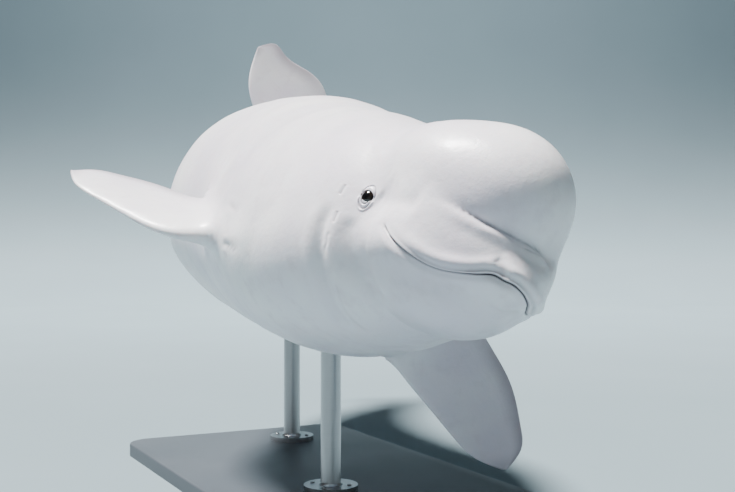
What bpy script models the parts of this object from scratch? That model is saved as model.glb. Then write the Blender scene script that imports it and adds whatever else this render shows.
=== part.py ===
# Beluga whale, life size, turning towards the viewer on a plain display stand.
# The whale is first described at rest: x forward, y to its left, z up, with the body straight
# along -x. "Behind" below means metres back from the spine's start, 15 mm ahead of the beak.
# A spine then bends the straight whale, and one placement pitches and rolls it and sets it over
# the stand, whose underside is z = 0. All lengths are metres.
import bpy
import bmesh
import numpy as np
from math import cos, pi, radians, sin

# Clearance between neighbouring pieces, and between the whale and its stand.
GAP = 0.0003
TINY = 1e-9                 # keeps powers and quotients finite

# Trunk stations: behind, half width, height of the back, height of the belly.
TRUNK = np.array([
    (0.30, 0.181, 0.211, -0.174),
    (0.45, 0.242, 0.244, -0.244),
    (0.62, 0.275, 0.265, -0.299),
    (0.90, 0.330, 0.296, -0.343),
    (1.30, 0.390, 0.353, -0.368),
    (1.75, 0.465, 0.355, -0.383),
    (2.20, 0.372, 0.335, -0.350),
    (2.70, 0.249, 0.273, -0.248),
    (3.10, 0.154, 0.203, -0.169),
    (3.42, 0.088, 0.130, -0.098),
    (3.66, 0.054, 0.045, -0.040),
    (3.84, 0.035, 0.026, -0.020)])
TRUNK_POWER = 2.15          # 2 would be an ellipse, more is squarer
AXIS_SHARE = 0.45           # how far up between belly and back the section's widest level lies
FOREHEAD_CLOSE = 0.24       # length over which the trunk closes inside the head
SECTION_SLOPE = 0.9         # brings the trunk's depth close to a true distance
NARROWEST = 0.02            # share of its section that the closing trunk keeps

# Head forms: centre, radii along, across, up and down, power of the outline along the body and of
# the cross-section (2 is an ellipse, more is boxier, less is more pointed), and how softly each
# one flows into the rest, in front of the melon and behind it.
HEAD_FORMS = {
    "melon": ((-0.202, 0, 0.128), (0.156, 0.138, 0.147, 0.147), 2.0, 2.0, 0.050, 0.050),
    "crown": ((-0.297, 0, 0.135), (0.195, 0.187, 0.137, 0.137), 2.0, 2.0, 0.050, 0.050),
    "muzzle": ((-0.250, 0, -0.020), (0.228, 0.187, 0.157, 0.053), 1.6, 3.0, 0.008, 0.030),
    "lip": ((-0.064, 0, -0.011), (0.044, 0.052, 0.044, 0.062), 2.0, 2.0, 0.020, 0.030),
    "chin": ((-0.281, 0, -0.027), (0.261, 0.191, 0.078, 0.081), 1.6, 2.0, 0.008, 0.030),
}
SOFTNESS_START, SOFTNESS_END = 0.08, 0.20
FAN_START = 0.30            # the head's rings fan out from the axis at this distance behind
AXIS_FULL = 0.90            # from here back the rings are centred on the trunk's own axis
BEAK_POLE = (0.30, 0, -0.0250)   # from there, the way to the middle of the mouth line

# Line of the mouth: degrees to the side as seen from the start of the fan, height. Its middle
# hangs a little where the upper lip laps the lower one, and its corners turn up.
MOUTH = np.array([
    (0, -0.0250), (5, -0.0212), (9, -0.0205), (12.5, -0.0178), (18, -0.0275), (24, -0.0385),
    (34, -0.0480), (48, -0.0455), (58, -0.0368), (68, -0.0229), (77, -0.0050), (90, 0.012)])
MOUTH_CORNER = radians(77)
LIP_DEPTH = 0.007           # how far the edges of the lips turn in

# Eyes and their lids.
EYE_BEHIND = 0.350
EYE_HEIGHT = 0.0353
EYE_RADIUS = 0.0150
EYE_DEPTH = 0.0105          # centre of the eyeball under the skin
LID_RADIUS = 0.0125
LID_THICKNESS = 0.0052
LID_STRETCH = 1.2           # the opening is longer than high

# Blowhole: a crescent slot on the crown, its horns forward.
BLOWHOLE_BEHIND = 0.405
BLOWHOLE_RADIUS = 0.036
BLOWHOLE_WIDTH = 0.007
BLOWHOLE_DEPTH = 0.030
BLOWHOLE_ARC = radians(62)
BLOWHOLE_OFFSET = 0.008

# Low ridge that takes the place of a dorsal fin.
RIDGE_START, RIDGE_FULL, RIDGE_FADE, RIDGE_END = 1.75, 2.00, 2.30, 2.65
RIDGE_HEIGHT = 0.018
RIDGE_HALF_WIDTH = 0.040

# Where the body is parted.
HEAD_END = 0.50
NECK_END = 0.78
CHEST_END = 1.70
ABDOMEN_END = 2.65
STOCK_END = 3.66

# Spine: how far each stretch turns, pitches up and rolls, in degrees, and where it does so.
SPINE_STRETCHES = (
    # start, end, turn, pitch, roll
    (0.40, 0.95, -18.6, -0.7, 6.6),
    (0.90, 2.40, 6.8, 7.3, 14.5),
    (2.20, 3.70, -25.8, 15.0, -38.7),
    (3.10, 3.70, 0.0, 18.0, 0.0))
SPINE_STEP = 0.01
SPINE_LENGTH = 4.0

# How the head is held: nose up, and roll towards the whale's left.
HEAD_PITCH = radians(-9.9)
HEAD_ROLL = radians(21.0)

# Flippers: span, where they leave the chest, and each one's sweep, droop and pitch in degrees.
# The right shoulder is raised with its flipper.
FLIPPER_SPAN = 0.50
FLIPPER_BEHIND = 1.01
FLIPPER_SIDE = 0.284
FLIPPER_HEIGHT = {"left": -0.123, "right": -0.094}
FLIPPER_SET = {"left": (-36.0, 60.0, 53.0), "right": (16.0, 4.2, 22.7)}
# Share of the span, leading edge and trailing edge ahead of the flipper's axis.
FLIPPER_PLAN = np.array([
    (0.00, 0.113, -0.095), (0.25, 0.152, -0.118), (0.55, 0.092, -0.163),
    (0.80, 0.023, -0.162), (0.93, -0.032, -0.138), (1.00, -0.091, -0.091)])
FLIPPER_THICKNESS = 0.036
FLIPPER_EDGE = 0.17         # share of the thickness that is left at the tip
FLIPPER_SWELL = 0.35        # extra share of the thickness at the root
FLIPPER_SWELL_END = 0.35    # share of the span over which it fades
FLIPPER_TIP_RISE = 0.020
FLIPPER_ROOT = -0.16        # share of the span at which it starts, inside the chest
FLIPPER_END = 0.985         # share of the span at its last section
FIN_FRONT = 0.38            # how much of a fin's thickness sits towards its leading edge
FIN_TAPER = 0.8             # power of the thickness from root to tip

# Flukes: half span, where they sit on the tail stock, and their pitch.
FLUKE_SPAN = 0.497
FLUKE_BEHIND = 3.72
FLUKE_PITCH = 29.0
# Share of the half span, leading edge and trailing edge behind the seat.
FLUKE_PLAN = np.array([
    (0.00, -0.330, 0.050), (0.15, -0.300, 0.125), (0.45, -0.236, 0.169),
    (0.75, -0.134, 0.166), (0.92, -0.007, 0.168), (1.00, 0.107, 0.107)])
FLUKE_THICKNESS = 0.030
FLUKE_EDGE = 0.004          # thickness that is left at the tip
FLUKE_END = 0.997           # share of the half span at its last section

# Stand: a flat base with two upright steel rods under the chest and the abdomen.
BASE_LENGTH = 1.50
BASE_WIDTH = 0.86
BASE_THICKNESS = 0.045
BASE_CORNER = 0.090
BASE_EASE = 0.006
ROD_RADIUS = 0.030
FLANGE_RADIUS = 0.080
FLANGE_HEIGHT = 0.016
FLANGE_EASE = 0.003
WELD_WIDTH, WELD_HEIGHT = 0.006, 0.008
FRONT_ROD_BEHIND = 1.30
REAR_ROD_BEHIND = 2.15

# Where the spine's start lies over the base, and its height over the floor.
BEAK_PLACE = np.array([-0.27, -1.59, 0.70])

# Mesh fineness.
COLUMNS = 48
COLUMNS_BELOW_MOUTH = 13
COLUMNS_ABOVE_MOUTH = 16
RINGS_BEFORE_CORNER = 19
RINGS_AFTER_CORNER = 3
HEAD_RINGS = 6
FLIPPER_SECTIONS = 13
FLIPPER_POINTS = 24
FLUKE_SECTIONS = 12
FLUKE_POINTS = 22
NECK_RINGS = 6
CHEST_RINGS = 11
ABDOMEN_RINGS = 11
STOCK_RINGS = 12
LID_SECTIONS = 20
LID_POINTS = 8
BALL_SEGMENTS = 16
BLOWHOLE_SECTIONS = 11
ROD_SIDES = 24
MOUTH_CROWDING = 1.5        # how much closer the head's columns lie at the mouth line
BEAK_CROWDING = 1.15        # how much closer the rings of the fan lie at its pole
TIP_CROWDING = 1.5          # how much closer the sections of a fin lie at its tip
SHARP = radians(40)         # edges sharper than this are shaded as edges


def ramp(x, low, high):
    """Smooth rise from 0 at low to 1 at high."""
    t = np.clip((x - low) / (high - low), 0, 1)
    return t * t * (3 - 2 * t)


def smooth_curve(knots, values):
    """Natural cubic spline through the knots."""
    count = len(knots)
    step = np.diff(knots)
    matrix = np.eye(count)
    right = np.zeros(count)
    for i in range(1, count - 1):
        matrix[i, i - 1:i + 2] = step[i - 1], 2 * (step[i - 1] + step[i]), step[i]
        right[i] = 6 * ((values[i + 1] - values[i]) / step[i] - (values[i] - values[i - 1]) / step[i - 1])
    bend = np.linalg.solve(matrix, right)

    def curve(x):
        x = np.clip(x, knots[0], knots[-1])
        i = np.clip(np.searchsorted(knots, x, side="right") - 1, 0, count - 2)
        past, left, width = x - knots[i], knots[i + 1] - x, step[i]
        return ((bend[i] * left ** 3 + bend[i + 1] * past ** 3) / (6 * width)
                + (values[i] / width - bend[i] * width / 6) * left
                + (values[i + 1] / width - bend[i + 1] * width / 6) * past)
    return curve


half_width = smooth_curve(TRUNK[:, 0], TRUNK[:, 1])
back_height = smooth_curve(TRUNK[:, 0], TRUNK[:, 2])
belly_height = smooth_curve(TRUNK[:, 0], TRUNK[:, 3])
mouth_height = smooth_curve(MOUTH[:, 0], MOUTH[:, 1])


def axis_height(behind):
    """Height of the section's widest level."""
    behind = np.maximum(behind, FAN_START)
    return AXIS_SHARE * back_height(behind) + (1 - AXIS_SHARE) * belly_height(behind)


def trunk_depth(p):
    """Rough distance outside the trunk, negative inside."""
    behind = -p[..., 0]
    station = np.maximum(behind, FAN_START)
    ahead = np.maximum(FAN_START - behind, 0) / FOREHEAD_CLOSE
    closing = np.sqrt(np.clip(1 - ahead ** 2, NARROWEST ** 2, 1))
    widest = axis_height(station)
    rise = p[..., 2] - widest
    half = np.where(rise > 0, back_height(station) - widest, widest - belly_height(station)) * closing
    wide = half_width(station) * closing
    across, upward = np.abs(p[..., 1] / wide), np.abs(rise / half)
    ring = (across ** TRUNK_POWER + upward ** TRUNK_POWER) ** (1 / TRUNK_POWER)
    depth = SECTION_SLOPE * (ring - 1) * np.minimum(wide, half)
    return np.maximum(depth, FAN_START - FOREHEAD_CLOSE - behind)


def form_depth(p, centre, radii, along, across):
    """Rough distance outside a rounded form, with a power for its outline along and across the body."""
    p = p - np.array(centre)
    tall = np.where(p[..., 2] > 0, radii[2], radii[3])
    x, y, z = np.abs(p[..., 0]) / radii[0], np.abs(p[..., 1]) / radii[1], np.abs(p[..., 2]) / tall
    section = np.maximum(y ** across + z ** across, TINY) ** (1 / across)
    reach = np.maximum(x ** along + section ** along, TINY) ** (1 / along)
    outward = reach ** (1 - along)
    side = outward * section ** (along - across)
    slope = np.stack([outward * np.maximum(x, TINY) ** (along - 1) / radii[0],
                      side * y ** (across - 1) / radii[1], side * z ** (across - 1) / tall], -1)
    return (reach - 1) / np.maximum(np.linalg.norm(slope, axis=-1), TINY)


def blend(a, b, softness):
    """The nearer of two surfaces, flowing into each other over the softness."""
    h = np.clip(0.5 + 0.5 * (b - a) / softness, 0, 1)
    return b + (a - b) * h - softness * h * (1 - h)


def flesh_depth(p):
    """Rough distance outside the whole whale without its fins, negative inside."""
    depth = trunk_depth(p)
    rear = ramp(-p[..., 0], SOFTNESS_START, SOFTNESS_END)
    for centre, radii, along, across, soft_front, soft_rear in HEAD_FORMS.values():
        softness = soft_front + (soft_rear - soft_front) * rear
        depth = blend(depth, form_depth(p, centre, radii, along, across), softness)
    return depth


def skin_points(origins, directions, reach=0.62, steps=60, halvings=22):
    """Where rays from inside the body leave the flesh for the last time."""
    inner = np.zeros(origins.shape[:-1])
    outer = np.zeros_like(inner)
    found = np.zeros(inner.shape, bool)
    previous = reach
    for i in range(1, steps + 1):
        distance = reach * (1 - i / steps)
        fresh = (flesh_depth(origins + directions * distance) < 0) & ~found
        inner = np.where(fresh, distance, inner)
        outer = np.where(fresh, previous, outer)
        found |= fresh
        previous = distance
    for _ in range(halvings):
        middle = (inner + outer) / 2
        inside = flesh_depth(origins + directions * middle[..., None]) < 0
        inner = np.where(inside, middle, inner)
        outer = np.where(inside, outer, middle)
    return origins + directions * ((inner + outer) / 2)[..., None]


def skin_normals(p, step=0.001):
    """Outward directions, from the slope of the depth."""
    slopes = [flesh_depth(p + step * axis) - flesh_depth(p - step * axis) for axis in np.eye(3)]
    normals = np.stack(slopes, -1)
    return normals / np.linalg.norm(normals, axis=-1, keepdims=True)


def around(angles):
    """Directions across the body; 0 points to the left and 90 degrees up."""
    return np.stack([0 * angles, np.cos(angles), np.sin(angles)], -1)


def body_ring(behind, angles):
    """One ring of skin across the body."""
    level = float(ramp(behind, FAN_START, AXIS_FULL) * axis_height(behind))
    ring = skin_points(np.repeat([[-behind, 0, level]], len(angles), 0), around(angles))
    rise = ramp(behind, RIDGE_START, RIDGE_FULL) * (1 - ramp(behind, RIDGE_FADE, RIDGE_END))
    ridge = RIDGE_HEIGHT * rise * np.exp(-(ring[:, 1] / RIDGE_HALF_WIDTH) ** 2)
    ring[:, 2] += ridge * (np.sin(angles) > 0)
    return ring


def fan_ring(angle, angles):
    """One ring of the head's fan; angle is 0 at the pole on the beak and 90 degrees at FAN_START."""
    pole = np.array(BEAK_POLE) / np.linalg.norm(BEAK_POLE)
    directions = sin(angle) * around(angles) + cos(angle) * pole
    directions /= np.linalg.norm(directions, axis=-1, keepdims=True)
    origins = np.repeat([[-FAN_START, 0, 0]], len(angles), 0)
    return skin_points(origins, directions)


def make_spine():
    """Centre and frame (forward, left, up) at each step along the spine."""
    behind = np.arange(0, SPINE_LENGTH + SPINE_STEP / 2, SPINE_STEP)
    amounts = [sum(stretch[i] * ramp(behind, *stretch[:2]) for stretch in SPINE_STRETCHES)
               for i in (2, 3, 4)]
    turn, pitch, roll = np.radians(amounts)
    frames = []
    for a, b, c in zip(turn, pitch, roll):
        yaw = np.array([[cos(a), -sin(a), 0], [sin(a), cos(a), 0], [0, 0, 1]])
        rise = np.array([[cos(b), 0, sin(b)], [0, 1, 0], [-sin(b), 0, cos(b)]])
        bank = np.array([[1, 0, 0], [0, cos(c), -sin(c)], [0, sin(c), cos(c)]])
        frames.append(yaw @ rise @ bank)
    frames = np.array(frames)
    forward = frames[:, :, 0]
    centres = np.zeros((len(behind), 3))
    centres[1:] = -np.cumsum((forward[:-1] + forward[1:]) / 2 * SPINE_STEP, axis=0)
    return centres, frames


SPINE_CENTRES, SPINE_FRAMES = make_spine()


def bent(p):
    """Rest points carried by the bent spine."""
    behind = np.clip(-p[..., 0], 0, SPINE_LENGTH - SPINE_STEP)
    i = (behind / SPINE_STEP).astype(int)
    share = (behind / SPINE_STEP - i)[..., None]
    centre = SPINE_CENTRES[i] * (1 - share) + SPINE_CENTRES[i + 1] * share
    frame = SPINE_FRAMES[i] * (1 - share[..., None]) + SPINE_FRAMES[i + 1] * share[..., None]
    ahead = (p[..., 0] + behind)[..., None]
    return centre + frame[..., 0] * ahead + frame[..., 1] * p[..., 1:2] + frame[..., 2] * p[..., 2:3]


def placed(p):
    """Points of the bent whale, in the part's frame: the whale heads along -Y."""
    left = np.array([cos(HEAD_ROLL), sin(HEAD_ROLL) * sin(-HEAD_PITCH), -sin(HEAD_ROLL) * cos(HEAD_PITCH)])
    forward = np.array([0, -cos(HEAD_PITCH), sin(HEAD_PITCH)])
    up = np.cross(forward, left)
    return p @ np.array([forward, left, up]) + BEAK_PLACE


def turned(axis, degrees):
    """Rotation matrix about a named axis."""
    c, s = cos(radians(degrees)), sin(radians(degrees))
    return {"x": np.array([[1, 0, 0], [0, c, -s], [0, s, c]]),
            "y": np.array([[c, 0, s], [0, 1, 0], [-s, 0, c]]),
            "z": np.array([[c, -s, 0], [s, c, 0], [0, 0, 1]])}[axis]


def carried(p, behind, offset):
    """Points of a fin, moved to the frame of the spine at one place and set into the part's frame."""
    i = round(behind / SPINE_STEP)
    return placed(SPINE_CENTRES[i] + (p + np.array([0, *offset])) @ SPINE_FRAMES[i].T)


def linear(hexcode):
    """Linear colour from a hex code in sRGB."""
    channels = [int(hexcode[i:i + 2], 16) / 255 for i in (0, 2, 4)]
    return [c / 12.92 if c <= 0.04045 else ((c + 0.055) / 1.055) ** 2.4 for c in channels] + [1]


def material(name, hexcode, roughness, metallic=0.0):
    mat = bpy.data.materials.new(name)
    mat.use_nodes = True
    shader = mat.node_tree.nodes["Principled BSDF"]
    shader.inputs["Base Color"].default_value = linear(hexcode)
    shader.inputs["Roughness"].default_value = roughness
    shader.inputs["Metallic"].default_value = metallic
    mat.diffuse_color = linear(hexcode)
    return mat


def solid(name, points, faces, look, smooth=True):
    """A new object from points and faces, split into triangles where a face has more corners."""
    mesh = bpy.data.meshes.new(name)
    mesh.from_pydata([tuple(p) for p in points], [], faces)
    bm = bmesh.new()
    bm.from_mesh(mesh)
    bmesh.ops.triangulate(bm, faces=[f for f in bm.faces if len(f.verts) > 3])
    bmesh.ops.recalc_face_normals(bm, faces=bm.faces)
    bm.to_mesh(mesh)
    bm.free()
    obj = bpy.data.objects.new(name, mesh)
    bpy.context.scene.collection.objects.link(obj)
    mesh.materials.append(look)
    if smooth:
        mesh.shade_smooth()
        mesh.set_sharp_from_angle(angle=SHARP)
    return obj


def strip(first, second):
    """Quads between two closed rings of point numbers."""
    count = len(first)
    return [(first[j], first[(j + 1) % count], second[(j + 1) % count], second[j]) for j in range(count)]


def cap(ring, centre):
    """Triangles that close a ring of point numbers."""
    return [(ring[j], ring[(j + 1) % len(ring)], centre) for j in range(len(ring))]


def body_length(name, start, end, rings, look, grow=0.0):
    """One length of the body between two flat cuts, with the clearance halved at each."""
    angles = np.linspace(0, 2 * pi, COLUMNS, endpoint=False)
    stations = np.linspace(start + GAP / 2, end - GAP / 2, rings)
    points = np.array([body_ring(s, angles) for s in stations])
    if grow:
        points += grow * skin_normals(points)
        points[0, :, 0] += grow
        points[-1, :, 0] -= grow
    numbers = np.arange(rings * COLUMNS).reshape(rings, COLUMNS)
    centres = [points[0].mean(0), points[-1].mean(0)]
    faces = [quad for a, b in zip(numbers[:-1], numbers[1:]) for quad in strip(a, b)]
    faces += cap(numbers[0], rings * COLUMNS) + cap(numbers[-1], rings * COLUMNS + 1)
    everything = np.vstack([points.reshape(-1, 3), centres])
    return solid(name, placed(bent(everything)), faces, look)


def largest_shell(obj):
    """Keep only the largest closed surface of a mesh."""
    bm = bmesh.new()
    bm.from_mesh(obj.data)
    left = set(bm.verts)
    shells = []
    while left:
        shell, edge = set(), [left.pop()]
        while edge:
            vert = edge.pop()
            shell.add(vert)
            near = {e.other_vert(vert) for e in vert.link_edges} & left
            left -= near
            edge += near
        shells.append(shell)
    shells.sort(key=len)
    for shell in shells[:-1]:
        bmesh.ops.delete(bm, geom=list(shell), context="VERTS")
    bm.to_mesh(obj.data)
    bm.free()


def combine(obj, operation, *tools):
    """Apply one Boolean with the tools, remove them, and keep the largest closed surface."""
    group = bpy.data.collections.new("tools")
    for tool in tools:
        group.objects.link(tool)
    cut = obj.modifiers.new("cut", "BOOLEAN")
    cut.operation = operation
    cut.solver = "EXACT"
    cut.operand_type = "COLLECTION"
    cut.collection = group
    bpy.context.view_layer.objects.active = obj
    bpy.ops.object.modifier_apply(modifier=cut.name)
    for tool in tools:
        bpy.data.objects.remove(tool)
    bpy.data.collections.remove(group)
    largest_shell(obj)
    obj.data.shade_smooth()
    obj.data.set_sharp_from_angle(angle=SHARP)


def mouth_angle(ring_angle):
    """Where a ring of the fan crosses the mouth line on the left side, by halving."""
    low, high = radians(-80), radians(80)
    for _ in range(24):
        middle = (low + high) / 2
        p = fan_ring(ring_angle, np.array([middle]))[0]
        side = np.degrees(np.arctan2(abs(p[1]), p[0] + FAN_START))
        low, high = (middle, high) if p[2] < mouth_height(side) else (low, middle)
    return (low + high) / 2


def head_columns(mouth):
    """Angles of the head's columns, crowded at the mouth line; the first is under the chin."""
    below = mouth + (pi / 2 + mouth) * -np.linspace(1, 0, COLUMNS_BELOW_MOUTH + 1) ** MOUTH_CROWDING
    above = mouth + (pi / 2 - mouth) * np.linspace(0, 1, COLUMNS_ABOVE_MOUTH + 1)[1:] ** MOUTH_CROWDING
    left = np.concatenate([below, above])
    return np.concatenate([left, (pi - left[1:-1])[::-1]])


def head_rings():
    """Rings of the head from the beak back, and the number of the ring at the mouth's corners."""
    before = MOUTH_CORNER * np.linspace(0, 1, RINGS_BEFORE_CORNER + 1)[1:] ** BEAK_CROWDING
    after = np.linspace(MOUTH_CORNER, pi / 2, RINGS_AFTER_CORNER + 1)[1:]
    rings = []
    for angle in before:
        mouth = mouth_angle(angle)
        rings.append(fan_ring(angle, head_columns(mouth)))
    for angle in after:
        rings.append(fan_ring(angle, head_columns(mouth)))
    for behind in np.linspace(FAN_START, HEAD_END - GAP / 2, HEAD_RINGS + 1)[1:]:
        rings.append(body_ring(behind, head_columns(mouth)))
    return np.array(rings), len(before) - 1


def make_head_and_jaw(skin):
    """Both come from one grid of rings, parted by the surface that joins the two mouth lines."""
    rings, corner = head_rings()
    columns = rings.shape[1]
    mouth_left = COLUMNS_BELOW_MOUTH
    mouth_right = columns - COLUMNS_BELOW_MOUTH
    pole = skin_points(np.array([[-FAN_START, 0, 0]]), np.array([BEAK_POLE]) / np.linalg.norm(BEAK_POLE))[0]
    depth = LIP_DEPTH * (1 - ramp(np.arange(corner + 1), corner - 4, corner + 0.5))
    for column in (mouth_left, mouth_right):
        rings[:corner + 1, column] -= depth[:, None] * skin_normals(rings[:corner + 1, column])
    middle = rings[corner, [mouth_left, mouth_right]].mean(0)

    count = len(rings)
    points = np.vstack([rings.reshape(-1, 3), pole, middle, rings[-1].mean(0)])
    numbers = np.arange(count * columns).reshape(count, columns)
    pole_number, middle_number, back_number = count * columns, count * columns + 1, count * columns + 2
    lower = np.concatenate([np.arange(mouth_right, columns), np.arange(mouth_left + 1)])
    upper = np.arange(mouth_left, mouth_right + 1)

    def side(chosen):
        first = numbers[0, chosen]
        faces = [(first[j], first[j + 1], pole_number) for j in range(len(chosen) - 1)]
        for a, b in zip(numbers[:corner, chosen], numbers[1:corner + 1, chosen]):
            faces += [(a[j], a[j + 1], b[j + 1], b[j]) for j in range(len(chosen) - 1)]
        return faces

    left, right = numbers[:corner + 1, mouth_left], numbers[:corner + 1, mouth_right]
    parting = [(pole_number, left[0], right[0])]
    parting += [(left[i], right[i], right[i + 1], left[i + 1]) for i in range(corner - 1)]
    parting += [(left[-2], right[-2], right[-1], middle_number, left[-1])]
    back = numbers[corner, lower]
    parting += [(back[j], back[j + 1], middle_number) for j in range(len(back) - 1)]

    rear = [quad for a, b in zip(numbers[corner:-1], numbers[corner + 1:]) for quad in strip(a, b)]
    faces = side(upper) + parting + rear + cap(numbers[-1], back_number)
    head = solid("head", placed(bent(points)), faces, skin)

    # The jaw leaves the head by the clearance, square to each face of the parting.
    jaw_points = points.copy()
    path = np.vstack([pole, rings[:corner + 1, mouth_left]])
    along = np.gradient(path[:, [0, 2]], axis=0)
    along /= np.linalg.norm(along, axis=1, keepdims=True)
    down = np.stack([-along[:, 1], 0 * along[:, 0], along[:, 0]], 1) * GAP
    jaw_points[pole_number] += down[0]
    jaw_points[left] += down[1:]
    jaw_points[right] += down[1:]
    jaw_points[middle_number] += down[-1] + (GAP, 0, 0)
    jaw_points[back, 0] += GAP
    jaw = solid("lower_jaw", placed(bent(jaw_points)), side(lower) + parting, skin)
    for obj in (head, jaw):
        remove_loose_points(obj)
    return head, jaw


def remove_loose_points(obj):
    """Drops the points that no face uses."""
    bm = bmesh.new()
    bm.from_mesh(obj.data)
    bmesh.ops.delete(bm, geom=[v for v in bm.verts if not v.link_faces], context="VERTS")
    bm.to_mesh(obj.data)
    bm.free()


def ring_grid(rows, look, name):
    """A closed tube of equal rings with a flat or pointed end, its two faces split alike."""
    rows = np.array(rows)
    count, around_count = rows.shape[:2]
    half = around_count // 2
    numbers = np.arange(count * around_count).reshape(count, around_count)
    faces = []
    for a, b in zip(numbers[:-1], numbers[1:]):
        for j in range(around_count):
            k = (j + 1) % around_count
            if j < half:
                faces += [(a[j], a[k], b[k]), (a[j], b[k], b[j])]
            else:
                faces += [(a[j], a[k], b[j]), (a[k], b[k], b[j])]
    centres = [rows[0].mean(0), rows[-1].mean(0)]
    faces += cap(numbers[0], count * around_count) + cap(numbers[-1], count * around_count + 1)
    return solid(name, np.vstack([rows.reshape(-1, 3), centres]), faces, look)


def make_eye(side, head, skin, dark):
    """Eyeball, its lids joined to the head, and its socket cut from them."""
    start = np.array([[-EYE_BEHIND, 0, EYE_HEIGHT]])
    spot = skin_points(start, np.array([[0.0, side, 0]]))
    normal = skin_normals(spot)[0]
    centre = spot[0] - EYE_DEPTH * normal
    along = np.cross([0, 0, 1], normal)
    along /= np.linalg.norm(along)
    across = np.cross(normal, along)
    lid = []
    for a in np.linspace(0, 2 * pi, LID_SECTIONS, endpoint=False):
        spoke = cos(a) * along * LID_STRETCH + sin(a) * across
        lid.append([spot[0] + LID_RADIUS * spoke
                    + LID_THICKNESS * (cos(b) * (cos(a) * along + sin(a) * across) + sin(b) * normal)
                    for b in np.linspace(0, 2 * pi, LID_POINTS, endpoint=False)])
    lid = np.array(lid)
    numbers = np.arange(lid.shape[0] * lid.shape[1]).reshape(lid.shape[:2])
    pairs = zip(numbers, np.roll(numbers, -1, axis=0))
    faces = [quad for a, b in pairs for quad in strip(a, b)]
    combine(head, "UNION", solid("lid", placed(lid.reshape(-1, 3)), faces, skin))
    combine(head, "DIFFERENCE", ball("socket", placed(centre), EYE_RADIUS + GAP, skin))
    return ball("eye_left" if side > 0 else "eye_right", placed(centre), EYE_RADIUS, dark)


def ball(name, centre, radius, look):
    """A smooth round ball."""
    mesh = bpy.data.meshes.new(name)
    bm = bmesh.new()
    bmesh.ops.create_uvsphere(bm, u_segments=BALL_SEGMENTS, v_segments=BALL_SEGMENTS // 2, radius=radius)
    bm.to_mesh(mesh)
    bm.free()
    mesh.materials.append(look)
    mesh.shade_smooth()
    obj = bpy.data.objects.new(name, mesh)
    obj.location = centre
    bpy.context.scene.collection.objects.link(obj)
    return obj


def cut_blowhole(head, skin):
    """A crescent slot, a little to the left of the middle as on the real animal."""
    centre = np.array([BLOWHOLE_RADIUS - BLOWHOLE_BEHIND, BLOWHOLE_OFFSET, 0])
    top = skin_points(np.array([[-BLOWHOLE_BEHIND, BLOWHOLE_OFFSET, 0]]), np.array([[0, 0, 1.0]]))[0, 2]
    rows = []
    for a in np.linspace(pi - BLOWHOLE_ARC, pi + BLOWHOLE_ARC, BLOWHOLE_SECTIONS):
        taper = max(sin((a - pi + BLOWHOLE_ARC) / (2 * BLOWHOLE_ARC) * pi), 0.25)
        spoke = np.array([cos(a), sin(a), 0])
        reach = BLOWHOLE_WIDTH / 2 * taper
        corners = [(BLOWHOLE_RADIUS + x * reach, top + z * BLOWHOLE_DEPTH)
                   for x, z in ((-1, -1), (1, -1), (1, 1), (-1, 1))]
        rows.append([centre + spoke * out + np.array([0, 0, height]) for out, height in corners])
    rows = np.array(rows)
    numbers = np.arange(rows.shape[0] * 4).reshape(-1, 4)
    faces = [quad for a, b in zip(numbers[:-1], numbers[1:]) for quad in strip(a, b)]
    faces += [tuple(numbers[0]), tuple(numbers[-1])]
    combine(head, "DIFFERENCE", solid("slot", placed(bent(rows.reshape(-1, 3))), faces, skin))


def make_flipper(side, skin):
    """A broad paddle with a rounded, slightly raised tip; its root runs into the chest."""
    name = "left" if side > 0 else "right"
    leading = smooth_curve(FLIPPER_PLAN[:, 0], FLIPPER_PLAN[:, 1])
    trailing = smooth_curve(FLIPPER_PLAN[:, 0], FLIPPER_PLAN[:, 2])
    sweep, droop, pitch = FLIPPER_SET[name]
    turn = turned("z", side * sweep) @ turned("x", -side * droop) @ turned("y", pitch)
    angles = np.linspace(0, 2 * pi, FLIPPER_POINTS, endpoint=False)
    rows = []
    steps = 1 - (1 - np.linspace(0, 1, FLIPPER_SECTIONS)) ** TIP_CROWDING
    for share in FLIPPER_ROOT + (FLIPPER_END - FLIPPER_ROOT) * steps:
        front, rear = leading(share), trailing(share)
        chord = (front - rear) / 2
        swell = 1 + FLIPPER_SWELL * (1 - ramp(share, 0, FLIPPER_SWELL_END))
        thick = FLIPPER_THICKNESS * swell * (FLIPPER_EDGE + (1 - FLIPPER_EDGE) * (1 - share) ** FIN_TAPER)
        profile = np.sin(angles) * (1 - FIN_FRONT + FIN_FRONT * np.cos(angles))
        rows.append(np.stack([(front + rear) / 2 + chord * np.cos(angles),
                              np.full(FLIPPER_POINTS, side * share * FLIPPER_SPAN),
                              thick * profile + FLIPPER_TIP_RISE * max(share, 0) ** 2], -1))
    rows = np.array(rows) @ turn.T
    rows = carried(rows, FLIPPER_BEHIND, (side * FLIPPER_SIDE, FLIPPER_HEIGHT[name]))
    flipper = ring_grid(rows, skin, "flipper_" + name)
    chest = body_length("tool", NECK_END, CHEST_END, CHEST_RINGS, skin, GAP)
    combine(flipper, "DIFFERENCE", chest)
    return flipper


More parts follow.
